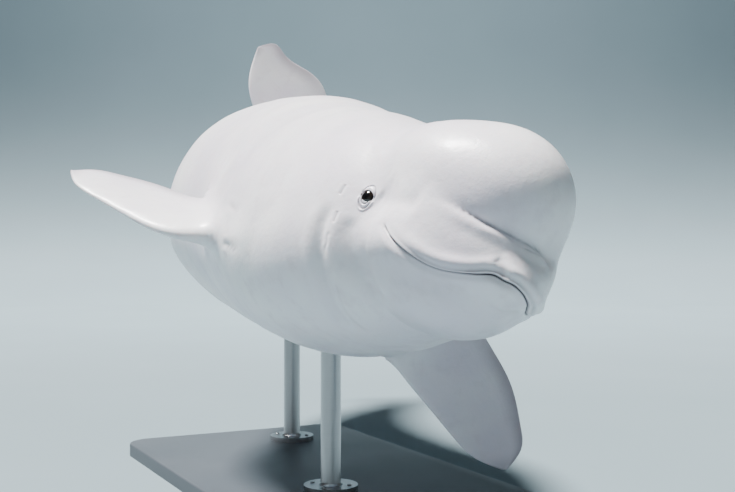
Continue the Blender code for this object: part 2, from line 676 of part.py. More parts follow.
def make_fluke(side, skin):
    """One lobe of the tail, from the middle out to its swept-back tip."""
    name = "fluke_left" if side > 0 else "fluke_right"
    leading = smooth_curve(FLUKE_PLAN[:, 0], FLUKE_PLAN[:, 1])
    trailing = smooth_curve(FLUKE_PLAN[:, 0], FLUKE_PLAN[:, 2])
    angles = np.linspace(0, 2 * pi, FLUKE_POINTS, endpoint=False)
    rows = []
    for share in 1 - (1 - np.linspace(0, FLUKE_END, FLUKE_SECTIONS)) ** TIP_CROWDING:
        front, rear = leading(share), trailing(share)
        thick = FLUKE_THICKNESS * (1 - share) ** FIN_TAPER + FLUKE_EDGE
        rows.append(np.stack([-(front + rear) / 2 + (rear - front) / 2 * np.cos(angles),
                              np.full(FLUKE_POINTS, side * (GAP / 2 + share * FLUKE_SPAN)),
                              thick * np.sin(angles) * (1 - FIN_FRONT + FIN_FRONT * np.cos(angles))], -1))
    rows = np.array(rows) @ turned("y", FLUKE_PITCH).T
    fluke = ring_grid(carried(rows, FLUKE_BEHIND, (0, 0)), skin, name)
    combine(fluke, "DIFFERENCE", body_length("tool", ABDOMEN_END, STOCK_END, STOCK_RINGS, skin, GAP))
    return fluke


def make_base(look):
    """Flat plate with rounded corners and eased edges."""
    bm = bmesh.new()
    bmesh.ops.create_cube(bm, size=1)
    bmesh.ops.scale(bm, vec=(BASE_WIDTH, BASE_LENGTH, BASE_THICKNESS), verts=bm.verts)
    bmesh.ops.translate(bm, vec=(0, 0, BASE_THICKNESS / 2), verts=bm.verts)
    upright = [e for e in bm.edges if abs(e.verts[0].co.z - e.verts[1].co.z) > BASE_THICKNESS / 2]
    bmesh.ops.bevel(bm, geom=upright, offset=BASE_CORNER, segments=7, affect="EDGES", profile=0.5)
    rim = [e for e in bm.edges if all(v.co.z > BASE_THICKNESS - 1e-6 for v in e.verts)
           and len(e.link_faces) == 2 and e.calc_face_angle() > 1]
    bmesh.ops.bevel(bm, geom=rim, offset=BASE_EASE, segments=2, affect="EDGES", profile=0.5)
    mesh = bpy.data.meshes.new("stand_base")
    bm.to_mesh(mesh)
    bm.free()
    mesh.materials.append(look)
    mesh.shade_smooth()
    mesh.set_sharp_from_angle(angle=SHARP)
    base = bpy.data.objects.new("stand_base", mesh)
    bpy.context.scene.collection.objects.link(base)
    return base


def make_rod(name, behind, start, end, rings, steel, skin):
    """Upright rod on a round flange, its top hollowed to fit the belly it carries."""
    foot = placed(SPINE_CENTRES[round(behind / SPINE_STEP)])
    profile = [(FLANGE_RADIUS, 0), (FLANGE_RADIUS, FLANGE_HEIGHT - FLANGE_EASE),
               (FLANGE_RADIUS - FLANGE_EASE, FLANGE_HEIGHT), (ROD_RADIUS + WELD_WIDTH, FLANGE_HEIGHT),
               (ROD_RADIUS, FLANGE_HEIGHT + WELD_HEIGHT), (ROD_RADIUS, foot[2] - BASE_THICKNESS)]
    angles = np.linspace(0, 2 * pi, ROD_SIDES, endpoint=False)
    rows = [np.stack([foot[0] + r * np.cos(angles), foot[1] + r * np.sin(angles),
                      np.full(ROD_SIDES, BASE_THICKNESS + GAP + z)], -1) for r, z in profile]
    rod = ring_grid(rows, steel, name)
    combine(rod, "DIFFERENCE", body_length("tool", start, end, rings, skin, GAP))
    return rod


def build():
    for obj in list(bpy.data.objects):
        bpy.data.objects.remove(obj)
    skin = material("whale skin", "ECEAEE", 0.45)
    dark = material("eye", "16141A", 0.08)
    steel = material("brushed steel", "B4B6B8", 0.32, 1.0)
    wood = material("painted plinth", "3A3E44", 0.5)

    head, jaw = make_head_and_jaw(skin)
    for side in (1, -1):
        make_eye(side, head, skin, dark)
        make_flipper(side, skin)
        make_fluke(side, skin)
    cut_blowhole(head, skin)
    body_length("neck", HEAD_END, NECK_END, NECK_RINGS, skin)
    body_length("chest", NECK_END, CHEST_END, CHEST_RINGS, skin)
    body_length("abdomen", CHEST_END, ABDOMEN_END, ABDOMEN_RINGS, skin)
    body_length("tail_stock", ABDOMEN_END, STOCK_END, STOCK_RINGS, skin)
    make_base(wood)
    make_rod("stand_rod_front", FRONT_ROD_BEHIND, NECK_END, CHEST_END, CHEST_RINGS, steel, skin)
    make_rod("stand_rod_rear", REAR_ROD_BEHIND, CHEST_END, ABDOMEN_END, ABDOMEN_RINGS, steel, skin)


build()
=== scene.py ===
# Life-size beluga whale turning towards the viewer on a plain display stand.
# One wet-looking skin covers the whole body; the eyes and the stand are pieces of their own.
import bpy
import bmesh
import numpy as np
from math import cos, pi, radians, sin, tau
from mathutils import Matrix, Vector, noise
from mathutils.bvhtree import BVHTree
from mathutils.kdtree import KDTree


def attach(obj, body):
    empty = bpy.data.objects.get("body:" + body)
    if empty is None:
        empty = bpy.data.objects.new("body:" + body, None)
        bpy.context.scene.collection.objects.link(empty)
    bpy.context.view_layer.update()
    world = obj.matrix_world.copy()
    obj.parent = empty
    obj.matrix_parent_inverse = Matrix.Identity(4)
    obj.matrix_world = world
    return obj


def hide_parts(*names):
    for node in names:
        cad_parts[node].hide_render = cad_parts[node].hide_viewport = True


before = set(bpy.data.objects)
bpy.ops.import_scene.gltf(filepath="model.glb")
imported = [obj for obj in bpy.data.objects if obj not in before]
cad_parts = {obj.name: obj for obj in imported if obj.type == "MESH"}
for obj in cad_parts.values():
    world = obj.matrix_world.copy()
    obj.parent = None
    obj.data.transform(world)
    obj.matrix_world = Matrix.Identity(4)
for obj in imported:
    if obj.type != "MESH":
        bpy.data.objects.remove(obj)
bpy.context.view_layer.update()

# The body at rest.
# x runs forward from the start of the spine, y to the whale's left, z up; "behind" is -x.

TRUNK = np.array([   # behind, half width, back, belly, in millimetres
    (300, 181, 211, -174), (450, 242, 244, -244), (620, 275, 265, -299), (900, 330, 296, -343),
    (1300, 390, 353, -368), (1750, 465, 355, -383), (2200, 372, 335, -350), (2700, 249, 273, -248),
    (3100, 154, 203, -169), (3420, 88, 130, -98), (3660, 54, 45, -40), (3840, 35, 26, -20)]) / 1000
TRUNK_POWER, AXIS_SHARE, SECTION_SLOPE = 2.15, 0.45, 0.9
FAN_START, FOREHEAD_CLOSE, NARROWEST, TINY = 0.3, 0.24, 0.02, 1e-9
HEAD_FORMS = {   # centre, radii along / across / up / down, powers along / across, softness
    "melon": ((-0.202, 0, 0.128), (0.156, 0.138, 0.147, 0.147), 2.0, 2.0, 0.05, 0.05),
    "crown": ((-0.297, 0, 0.135), (0.195, 0.187, 0.137, 0.137), 2.0, 2.0, 0.05, 0.05),
    "muzzle": ((-0.25, 0, -0.02), (0.228, 0.187, 0.157, 0.053), 1.6, 3.0, 0.008, 0.03),
    "lip": ((-0.064, 0, -0.011), (0.044, 0.052, 0.044, 0.062), 2.0, 2.0, 0.02, 0.03),
    "chin": ((-0.281, 0, -0.027), (0.261, 0.191, 0.078, 0.081), 1.6, 2.0, 0.008, 0.03)}
SOFTNESS_START, SOFTNESS_END = 0.08, 0.2
BEAK_POLE = np.array((0.3, 0, -0.0321))
MOUTH = np.array([   # degrees to the left from the start of the fan, height
    (-90, 0.012), (-77, -0.005), (-68, -0.0229), (-58, -0.0368), (-48, -0.0455), (-34, -0.048),
    (-24, -0.0385), (-18, -0.0275), (-12.5, -0.0178), (-9, -0.0205), (-5, -0.0212), (-1.4, -0.0268),
    (4.6, -0.0387), (10.8, -0.0475), (18, -0.0545), (27.4, -0.0605), (36, -0.059), (48, -0.05),
    (58, -0.0385), (68, -0.0235), (77, -0.005), (90, 0.012)])
MOUTH_CORNER = radians(77)
RIDGE_RUN = 1.75, 2.0, 2.3, 2.65
RIDGE_HEIGHT, RIDGE_HALF_WIDTH, NOTCH_DEPTH, NOTCH_RATE = 0.018, 0.04, 0.16, 95
STOCK_CLOSE, STOCK_END = 3.58, 3.74   # where the tail stock rounds off inside the flukes

SPINE_STRETCHES = (   # from, to, then degrees of turn, pitch and roll
    (0.4, 0.95, -18.6, -0.7, 6.6), (0.9, 2.4, 6.8, 7.3, 14.5),
    (2.2, 3.7, -25.8, 15.0, -38.7), (3.1, 3.7, 0.0, 18.0, 0.0))
SPINE_STEP, SPINE_LENGTH = 0.01, 4.0
HEAD_PITCH, HEAD_ROLL = radians(-9.9), radians(21.0)
BEAK_PLACE = np.array([-0.27, -1.59, 0.7])

FLIPPER_SPAN, FLIPPER_BEHIND, FLIPPER_SIDE = 0.5, 1.01, 0.284
FLIPPER_HEIGHT = {"left": -0.123, "right": -0.094}
FLIPPER_SET = {"left": (-36.0, 60.0, 53.0), "right": (16.0, 4.2, 22.7)}
FLIPPER_PLAN = np.array([   # thousandths: share of the span, leading edge, trailing edge
    (0, 113, -95), (250, 152, -118), (550, 92, -163), (800, 23, -162), (930, -32, -138),
    (1000, -91, -91)]) / 1000
FLIPPER_THICK, FLIPPER_EDGE, FLIPPER_SWELL, FLIPPER_SWELL_END = 0.036, 0.17, 0.35, 0.35
FLIPPER_TIP_RISE, FLIPPER_ROOT, FLIPPER_END = 0.02, -0.16, 0.992
FLUKE_SPAN, FLUKE_BEHIND, FLUKE_PITCH = 0.497, 3.72, 29.0
FLUKE_PLAN = np.array([   # thousandths: share of the span, leading edge, trailing edge
    (0, -330, 50), (150, -300, 125), (450, -236, 169), (750, -134, 166), (920, -7, 168),
    (1000, 107, 107)]) / 1000
FLUKE_THICK, FLUKE_EDGE, FLUKE_END = 0.03, 0.004, 0.998
FIN_FRONT, FIN_TAPER, FIN_CROWDING = 0.38, 0.8, 1.5
FINGER_HEIGHT, FINGER_RATE, FINGER_SLANT = 0.0011, 150, 2
RIM_SHADE, TIP_SHADE = 0.8, 0.6
FIN_WEBS, WEB_ROUNDS, WEB_STEP, RELAX_ROUNDS = (0.075, 0.055, 0.04), 4, 0.8, 3
ON_SURFACE, CLEAR_WAY = 2e-5, 0.2

EYE_BEHIND, EYE_HEIGHT, EYE_RADIUS, EYE_DEPTH = 0.35, 0.0353, 0.0225, 0.0165
HOLE_BEHIND, HOLE_RADIUS, HOLE_ARC, HOLE_OFFSET = 0.405, 0.036, radians(62), 0.008

# Fineness of the skin.
COLUMNS, BELOW_MOUTH, ABOVE_MOUTH, CROWDING = 216, 52, 56, 1.4
FAN_RINGS, CORNER_RINGS, NECK_RINGS, BODY_RINGS = 92, 10, 64, 112
NECK_END, RAYS_ON_AXIS, STOCK_MARGIN = 0.62, 0.9, 0.004
BEAK_CROWDING, BODY_CROWDING = 1.15, 1.18
EVEN_START, EVEN_END = 0.45, 1.2   # where the columns spread out evenly again
STEEPEST_MOUTH, MOUTH_HALVINGS = radians(80), 20
HOLE_AHEAD = 0.012


def ramp(x, low, high):
    t = np.clip((x - low) / (high - low), 0, 1)
    return t * t * (3 - 2 * t)


def bell(x, width):
    return np.exp(-(x / width) ** 2)


def unit(vectors):
    return vectors / np.linalg.norm(vectors, axis=-1, keepdims=True)


def hump(x, start, full, fade, end):
    return ramp(x, start, full) * (1 - ramp(x, fade, end))


def smooth_curve(knots, values):
    """Natural cubic spline through the knots."""
    count = len(knots)
    step = np.diff(knots)
    matrix, right = np.eye(count), np.zeros(count)
    for i in range(1, count - 1):
        matrix[i, i - 1:i + 2] = step[i - 1], 2 * (step[i - 1] + step[i]), step[i]
    right[1:-1] = 6 * np.diff(np.diff(values) / step)
    bend = np.linalg.solve(matrix, right)

    def curve(x):
        x = np.clip(x, knots[0], knots[-1])
        i = np.clip(np.searchsorted(knots, x, side="right") - 1, 0, count - 2)
        past, left, width = x - knots[i], knots[i + 1] - x, step[i]
        return ((bend[i] * left ** 3 + bend[i + 1] * past ** 3) / (6 * width)
                + (values[i] / width - bend[i] * width / 6) * left
                + (values[i + 1] / width - bend[i + 1] * width / 6) * past)
    return curve


def curves(table):
    """One curve for each column of a table, over its first column."""
    return [smooth_curve(table[:, 0], column) for column in table.T[1:]]


half_width, back_height, belly_height = curves(TRUNK)
mouth_height, = curves(MOUTH)


def mouth_level(p):
    """Height of the mouth line in the direction of each point as seen from the fan's centre."""
    return mouth_height(np.degrees(np.arctan2(p[..., 1], p[..., 0] + FAN_START)))


def axis_height(behind):
    behind = np.maximum(behind, FAN_START)
    return AXIS_SHARE * back_height(behind) + (1 - AXIS_SHARE) * belly_height(behind)


def trunk_depth(p):
    behind = -p[..., 0]
    station = np.maximum(behind, FAN_START)
    ahead = np.maximum(FAN_START - behind, 0) / FOREHEAD_CLOSE
    closing = np.sqrt(np.clip(1 - ahead ** 2, NARROWEST ** 2, 1))
    widest = axis_height(station)
    rise = p[..., 2] - widest
    half = np.where(rise > 0, back_height(station) - widest, widest - belly_height(station)) * closing
    wide = half_width(station) * closing
    ring = ((np.abs(p[..., 1] / wide) ** TRUNK_POWER + np.abs(rise / half) ** TRUNK_POWER)
            ** (1 / TRUNK_POWER))
    return np.maximum(SECTION_SLOPE * (ring - 1) * np.minimum(wide, half),
                      FAN_START - FOREHEAD_CLOSE - behind)


def form_depth(p, centre, radii, along, across):
    p = p - np.array(centre)
    tall = np.where(p[..., 2] > 0, radii[2], radii[3])
    x, y, z = np.abs(p[..., 0]) / radii[0], np.abs(p[..., 1]) / radii[1], np.abs(p[..., 2]) / tall
    section = np.maximum(y ** across + z ** across, TINY) ** (1 / across)
    reach = np.maximum(x ** along + section ** along, TINY) ** (1 / along)
    outward = reach ** (1 - along)
    side = outward * section ** (along - across)
    slope = np.stack([outward * np.maximum(x, TINY) ** (along - 1) / radii[0],
                      side * y ** (across - 1) / radii[1], side * z ** (across - 1) / tall], -1)
    return (reach - 1) / np.maximum(np.linalg.norm(slope, axis=-1), TINY)


def blend(a, b, softness):
    h = np.clip(0.5 + 0.5 * (b - a) / softness, 0, 1)
    return b + (a - b) * h - softness * h * (1 - h)


def flesh_depth(p):
    depth = trunk_depth(p)
    rear = ramp(-p[..., 0], SOFTNESS_START, SOFTNESS_END)
    for centre, radii, along, across, soft_front, soft_rear in HEAD_FORMS.values():
        softness = soft_front + (soft_rear - soft_front) * rear
        depth = blend(depth, form_depth(p, centre, radii, along, across), softness)
    return depth


def skin_points(origins, directions, reach=0.62, steps=60, halvings=18):
    """Where rays from inside the body leave the flesh for the last time."""
    shape = origins.shape
    origins, directions = origins.reshape(-1, 3), directions.reshape(-1, 3)
    inner = np.zeros(len(origins))
    outer = np.full(len(origins), reach / steps)
    open_rays = np.arange(len(origins))
    for i in range(1, steps):
        distance = reach * (1 - i / steps)
        inside = flesh_depth(origins[open_rays] + directions[open_rays] * distance) < 0
        found = open_rays[inside]
        inner[found] = distance
        outer[found] = distance + reach / steps
        open_rays = open_rays[~inside]
    for _ in range(halvings):
        middle = (inner + outer) / 2
        inside = flesh_depth(origins + directions * middle[:, None]) < 0
        inner = np.where(inside, middle, inner)
        outer = np.where(inside, outer, middle)
    return (origins + directions * ((inner + outer) / 2)[:, None]).reshape(shape)


def skin_point(origin, direction):
    return skin_points(np.array([origin], float), np.array([direction], float))[0]


def skin_normals(p, step=0.001):
    slopes = [flesh_depth(p + step * axis) - flesh_depth(p - step * axis) for axis in np.eye(3)]
    return unit(np.stack(slopes, -1))


def around(angles):
    return np.stack([0 * angles, np.cos(angles), np.sin(angles)], -1)


def fan_points(ring_angles, angles):
    """Skin of the head along rays from the fan's centre; ring angle 0 is the pole on the mouth line."""
    directions = unit(np.sin(ring_angles)[..., None] * around(angles)
                      + np.cos(ring_angles)[..., None] * unit(BEAK_POLE))
    return skin_points(np.broadcast_to([-FAN_START, 0.0, 0.0], directions.shape), directions)


def ray_centres(behind):
    return np.stack([-behind, 0 * behind, ramp(behind, FAN_START, RAYS_ON_AXIS) * axis_height(behind)], -1)


def mouth_columns(ring_angles, side):
    """Where each ring of the fan crosses the mouth line on one side (1 is left), by halving."""
    high = np.full(len(ring_angles), STEEPEST_MOUTH)
    low = -high
    for _ in range(MOUTH_HALVINGS):
        middle = (low + high) / 2
        p = fan_points(ring_angles, middle if side > 0 else pi - middle)
        below = p[:, 2] < mouth_level(p)
        low, high = np.where(below, middle, low), np.where(below, high, middle)
    return (low + high) / 2


def crowded_shares(count, power):
    return np.linspace(0, 1, count + 1)[1:] ** power


def column_angles(mouths, crowding):
    """Angles of one ring's columns, closer at both mouth lines; the first is under the chin."""
    sides = []
    for mouth in mouths:
        below = mouth - (pi / 2 + mouth) * np.linspace(1, 0, BELOW_MOUTH + 1) ** crowding
        above = mouth + (pi / 2 - mouth) * crowded_shares(ABOVE_MOUTH, crowding)
        sides.append(np.concatenate([below, above]))
    return np.concatenate([sides[0], (pi - sides[1][1:-1])[::-1]])


def rings_at_rest():
    """Rings of the whole skin from the beak to the tail, and the mouth line from left to right."""
    before = MOUTH_CORNER * crowded_shares(FAN_RINGS, BEAK_CROWDING)
    after = np.linspace(MOUTH_CORNER, pi / 2, CORNER_RINGS + 1)[1:]
    mouths = np.stack([mouth_columns(before, side) for side in (1, -1)], -1)
    mouths = np.vstack([mouths, np.repeat(mouths[-1:], CORNER_RINGS, 0)])
    columns = np.array([column_angles(pair, CROWDING) for pair in mouths])
    fan = fan_points(np.repeat(np.append(before, after)[:, None], COLUMNS, 1), columns)
    neck = np.linspace(FAN_START, NECK_END, NECK_RINGS + 1)[1:]
    body = (STOCK_END - STOCK_MARGIN - NECK_END) * crowded_shares(BODY_RINGS, BODY_CROWDING)
    behind = np.append(neck, NECK_END + body)
    fade = ramp(behind, EVEN_START, EVEN_END)
    columns = np.array([column_angles(mouths[-1] * (1 - f), CROWDING + (1 - CROWDING) * f)
                        for f in fade])
    rings = skin_points(np.repeat(ray_centres(behind)[:, None], COLUMNS, 1), around(columns))
    past = np.clip((behind - STOCK_CLOSE) / (STOCK_END - STOCK_CLOSE), 0, 1)
    middle = np.stack([-behind, 0 * behind, axis_height(behind)], -1)[:, None]
    rings = middle + (rings - middle) * np.sqrt(1 - past ** 2)[:, None, None]
    pole = fan_points(np.zeros(1), np.zeros(1))
    left, right = fan[:FAN_RINGS, BELOW_MOUTH], fan[:FAN_RINGS, COLUMNS - BELOW_MOUTH]
    return np.vstack([fan, rings]), np.vstack([left[::-1], pole, right])


# Folds, lips, lids, blowhole and unevenness, pressed into the skin at rest, with painted shade in their
# creases.

def offset_from(p, path):
    """Distance to a run of short straight stretches, and how far along it the nearest point lies."""
    best, along = np.full(len(p), np.inf), np.zeros(len(p))
    for i, (a, b) in enumerate(zip(path[:-1], path[1:])):
        run = b - a
        share = np.clip((p - a) @ run / max(run @ run, TINY), 0, 1)
        distance = np.linalg.norm(p - a - share[:, None] * run, axis=1)
        nearer = distance < best
        best = np.where(nearer, distance, best)
        along = np.where(nearer, (i + share) / (len(path) - 1), along)
    return best, along


def waves(distance, forms):
    """Soft ridges and furrows beside a line; each form is a height, a place and a width."""
    return sum(height * bell(distance - place, width) for height, place, width in forms)


# Folds of the right side: half width, depth, how dark (painted shade along the fold), whether the left
# has them too, and points in tenths of a millimetre.
FOLDS = {
    "ear_upper": (0.0042, 0.0015, 0.3, True, (
        (-4147, -2248, 445), (-4141, -2265, 332), (-4145, -2284, 181))),
    "ear_lower": (0.0042, 0.0015, 0.3, True, (
        (-4003, -2247, -124), (-3992, -2242, -269), (-3980, -2229, -394))),
    "ear_rough": (0.0045, 0.0014, 0.15, True, (
        (-4009, -2218, -573), (-4060, -2190, -700), (-4035, -2174, -827), (-4080, -2130, -950),
        (-4050, -2078, -1082))),
    "neck": (0.015, 0.0065, 0.05, True, (
        (-4296, -2348, 32), (-4266, -2327, -520), (-4223, -2218, -928), (-4167, -1993, -1341),
        (-4167, -1634, -1752), (-4254, -1112, -2124), (-4330, -400, -2330))),
    "neck_front": (0.018, 0.0045, 0.05, True, (
        (-3644, -2100, -101), (-3589, -2048, -473), (-3463, -1904, -784), (-3292, -1674, -1058),
        (-3090, -1297, -1339), (-2598, -1027, -1450))),
    "throat": (0.0055, 0.0028, 0.1, True, (
        (-3864, -1770, -1411), (-3914, -1505, -1707), (-4026, -1159, -1988), (-4050, -901, -2107),
        (-4080, -300, -2230))),
    "crown": (0.016, 0.003, 0.0, True, (
        (-4150, -600, 2450), (-3980, -1300, 2150), (-3779, -1784, 1665), (-3806, -1952, 1254))),
    "cheek": (0.019, 0.005, 0.08, True, (
        (-3300, -1950, 480), (-3069, -1974, 439), (-2663, -1953, 450), (-2290, -1870, 510),
        (-1900, -1700, 560))),
    "armpit_front": (0.007, 0.0028, 0.2, False, (
        (-8500, -3300, -500), (-8200, -3150, -560), (-7720, -3050, -680))),
    "armpit_rear": (0.007, 0.003, 0.2, False, (
        (-8500, -3080, -1460), (-7824, -2915, -1502), (-7332, -2781, -1563))),
    "lip_side": (0.008, 0.0034, 0.12, False, (
        (-480, -640, 120), (-450, -570, 60), (-370, -520, 0), (-340, -470, -80), (-360, -500, -160)))}
# Crease under the melon, from its right side over the beak to its left, in the same unit.
MELON_FOLD = np.array([
    (-2150, -1780, 840), (-1778, -1620, 780), (-1257, -1273, 715), (-880, -886, 648), (-655, -407, 622),
    (-613, 62, 600), (-646, 369, 575), (-630, 534, 440), (-565, 634, 259)]) / 10000
MELON_CREASE, MELON_HOLLOW = ((0.005, 0, 0.0045),), ((0.006, 0, 0.016),)
# The melon's shade is painted: a dark line along the fold where the melon overhangs the beak.
MELON_SWELL, MELON_PAINTED_SHADE = ((0.0075, 0.015, 0.013),), ((0.5, 0, 0.0028),)
FOLD_FADE, FOLD_SHADE_WIDTH, FOLD_SIDE_HEIGHT, FOLD_SIDE_PLACE = 0.15, 0.6, 0.3, 2.4
# Puffed places on the left of the beak: centre, reach, height.
PUFFS = (((-0.05, 0.06, 0.01), 0.042, 0.0075), ((-0.078, 0.088, 0.058), 0.04, 0.0085))
# Lips: heights, places above the mouth line and widths.
UPPER_LIP = ((0.0048, 0.02, 0.011), (-0.001, 0.0085, 0.004))
# The lip shade is painted shadow: a grey band just above the mouth line, under the roll of the upper lip.
LIP_BEAD, UPPER_LIP_SHADOW = ((0.0014, 0.0036, 0.002),), ((0.22, 0.0085, 0.004),)
LOWER_LIP = ((-0.0022, -0.004, 0.008), (0.0012, -0.016, 0.009))
# Mouth line: depth, half width, painted shade in it, and the share of that shade towards the corners.
CREASE_DEPTH, CREASE_WIDTH, CREASE_PAINTED_SHADE, CREASE_SIDES = 0.006, 0.0017, 0.9, 0.6
LIPS_FADE, OVERHANG_FADE = (0.92, 1.0), (0.55, 0.95)
# Corners of the mouth: strength, reach, share of the way to the end, width; the dimple is pressed in and its
# shade is painted.
CORNER_DIMPLE, CORNER_PAINTED_SHADE = (0.0022, 0.009, 0.98, 0.04), (0.5, 0.0032, 0.96, 0.035)


def corner_mark(distance, along, strength, reach, place, width):
    return strength * bell(distance, reach) * bell(along - place, width)


def mouth_relief(p, line):
    """Crease between the lips, the bead along the upper lip, its overhang, and how dark it is: painted shade
    in the mouth line, under the overhang and in the corner dimples.
    """
    distance, along = offset_from(p, line)
    along = np.abs(2 * along - 1)
    ends = 1 - ramp(along, *LIPS_FADE)
    front = 1 - ramp(along, *OVERHANG_FADE)
    crease_and_shade = bell(distance, CREASE_WIDTH) * ends
    t = np.where(p[:, 2] > mouth_level(p), distance, -distance)
    relief = (waves(t, UPPER_LIP) * front + waves(t, LIP_BEAD) * ends
              + waves(t, LOWER_LIP) * (t < 0) * ends
              - corner_mark(distance, along, *CORNER_DIMPLE) - CREASE_DEPTH * crease_and_shade)
    # Painted shade: the mouth line, the band under the upper lip's roll and the corner dimples darkened.
    dark = (CREASE_PAINTED_SHADE * crease_and_shade * (CREASE_SIDES + (1 - CREASE_SIDES) * front)
            + waves(t, UPPER_LIP_SHADOW) * front + corner_mark(distance, along, *CORNER_PAINTED_SHADE))
    return relief, dark


def eye_frames():
    """Spot, outward, forward and upward direction of each eye on the skin at rest."""
    frames = {}
    for name, side in (("left", 1.0), ("right", -1.0)):
        spot = skin_point((-EYE_BEHIND, 0, EYE_HEIGHT), (0, side, 0))
        out = skin_normals(spot[None])[0]
        fore = unit(np.array([1.0, 0, 0]) - out[0] * out)
        frames[name] = spot, out, fore, unit(np.cross(out, fore) * -side)
    return frames


def oval(a, b, middle, radii):
    """Distance outside an upright oval on the skin beside the eye, roughly."""
    a, b = a - middle[0], b - middle[1]
    q = np.maximum(np.hypot(a / radii[0], b / radii[1]), TINY)
    return (q - 1) * np.hypot(a, b) / q


# Eye opening: its middle, its reach ahead, behind, up and down, and the powers of its two ends.
EYE_OPENING = 0.0012, 0.015, 0.0195, 0.0124, 0.0108, 2.0, 1.45
LID_LOWEST, LID_THICKNESS, LID_EDGE = -0.001, 0.0006, ((0.0006, 0.0014, 0.0012),)
LID_FADE_START, LID_FADE_WIDTH, LID_STEEPEST = 0.0016, 0.0085, 0.9
UPPER_FADE, LOWER_FADE = (-0.002, 0.007), (0.002, 0.009)
# The pocket's shade is painted: dark inside the opening, where the lids shade the eyeball.
POCKET_DEPTH, POCKET_EDGE, POCKET_PAINTED_SHADE = 0.015, (-0.0004, 0.0012), (-0.0016, 0.0004)
EYE_SURROUND = 0.06
# Ovals round the eye: middle, then half width and half height.
RING, POUCH = ((-0.001, -0.002), (0.0185, 0.027)), ((0.0, -0.0045), (0.014, 0.0165))
# Folds and painted shades round the eye: line, lid, then heights (darkness for the shades), places outside
# the line and widths.
EYE_FOLDS = (
    ("ring", "upper", ((-0.0022, 0, 0.0014), (0.0018, -0.0065, 0.0042))),
    ("pouch", "lower", ((-0.0016, -0.0044, 0.0012), (0.002, -0.0004, 0.0021))),
    ("ring", "lower", ((-0.002, -0.0032, 0.002), (0.0018, 0.001, 0.0022))))
EYE_PAINTED_SHADES = (
    ("ring", "upper", ((0.5, 0, 0.0012),)), ("opening", "upper", ((0.22, 0.002, 0.0022),)),
    ("pouch", "lower", ((0.75, -0.0044, 0.0013),)), ("ring", "lower", ((0.5, -0.0032, 0.0017),)))


def eye_relief(p, eye):
    """Lids that lie on the eyeball, the folds round them, the pocket the eyeball sits in, and painted shade
    in the pocket and round the lids.
    """
    spot, _, fore, up = eye
    middle, ahead, behind, above, below, front_power, rear_power = EYE_OPENING
    a, b = (p - spot) @ fore - middle, (p - spot) @ up
    near = np.linalg.norm(p - spot, axis=1) < EYE_SURROUND
    reach_a, reach_b = np.where(a > 0, ahead, behind), np.where(b > 0, above, below)
    power = np.where(a > 0, front_power, rear_power)
    q = np.maximum((np.abs(a / reach_a) ** power + np.abs(b / reach_b) ** power) ** (1 / power), TINY)
    edge = np.hypot(a, b) / q
    e = (q - 1) * edge
    lines = {"opening": e, "ring": oval(a, b, *RING), "pouch": oval(a, b, *POUCH)}
    lids = {"upper": ramp(b, *UPPER_FADE), "lower": ramp(-b, *LOWER_FADE)}
    folds, shades = (sum(waves(lines[line], forms) * lids[lid] for line, lid, forms in rows)
                     for rows in (EYE_FOLDS, EYE_PAINTED_SHADES))
    on_ball = np.sqrt(EYE_RADIUS ** 2 - np.minimum(edge, EYE_RADIUS * LID_STEEPEST) ** 2) - EYE_DEPTH
    on_ball = np.maximum(on_ball, LID_LOWEST) + LID_THICKNESS
    rim = (on_ball + waves(e, LID_EDGE)) * bell(np.maximum(e - LID_FADE_START, 0), LID_FADE_WIDTH)
    pocket = ramp(-e, *POCKET_EDGE)
    relief = (rim + folds) * (1 - pocket) - POCKET_DEPTH * pocket
    # The second value is painted shade, dark in the pocket and along the creases of the lids.
    return relief * near, np.clip(ramp(-e, *POCKET_PAINTED_SHADE) + shades, 0, 1) * near


HOLE_RIM = ((0.0022, -0.006, 0.006), (0.003, 0.007, 0.007))
HOLE_DEPTH, HOLE_SLOT, HOLE_FADE, HOLE_SURROUND = 0.011, 0.0022, (0.8, 1.05), 0.09


def blowhole_relief(p):
    """Crescent slot on the crown with its horns forward, the soft rim that closes it, and painted shade in
    the slot.
    """
    x, y = p[:, 0] - (HOLE_RADIUS - HOLE_BEHIND), p[:, 1] - HOLE_OFFSET
    angle = np.abs(np.abs(np.arctan2(y, x)) - pi)
    inside = 1 - ramp(angle, *(HOLE_ARC * share for share in HOLE_FADE))
    t = np.hypot(x, y) - HOLE_RADIUS
    near = (p[:, 2] > 0.1) & (np.hypot(x, y) < HOLE_SURROUND)
    slot = bell(t, HOLE_SLOT)
    # The slot is also darkened as painted shade.
    return (waves(t, HOLE_RIM) - HOLE_DEPTH * slot) * inside * near, slot * inside * near


UNEVENNESS = ((7.0, 0.0022), (15.0, 0.0009))   # how many to the metre, height
ROLL_LENGTH, ROLL_HEIGHT, ROLL_LEAN, ROLL_WANDER = 0.165, 0.0026, 5, 900
HEAD_UNEVENNESS = 0.35


def waviness(p):
    """Slow unevenness of the blubber, a few millimetres over a hand's width."""
    rise = np.zeros(len(p))
    for frequency, height in UNEVENNESS:
        rise += height * np.array([noise.noise(Vector(q)) for q in (p * frequency).tolist()])
    behind = -p[:, 0]
    rolls = np.sin(tau * behind / ROLL_LENGTH + ROLL_LEAN * p[:, 2] + ROLL_WANDER * rise)
    shown = hump(behind, 0.45, 0.65, 1.2, 1.8) * ramp(p[:, 2], -0.25, 0.05)
    share = HEAD_UNEVENNESS + (1 - HEAD_UNEVENNESS) * ramp(behind, 0.35, 0.9)
    return rise * share + ROLL_HEIGHT * rolls * shown


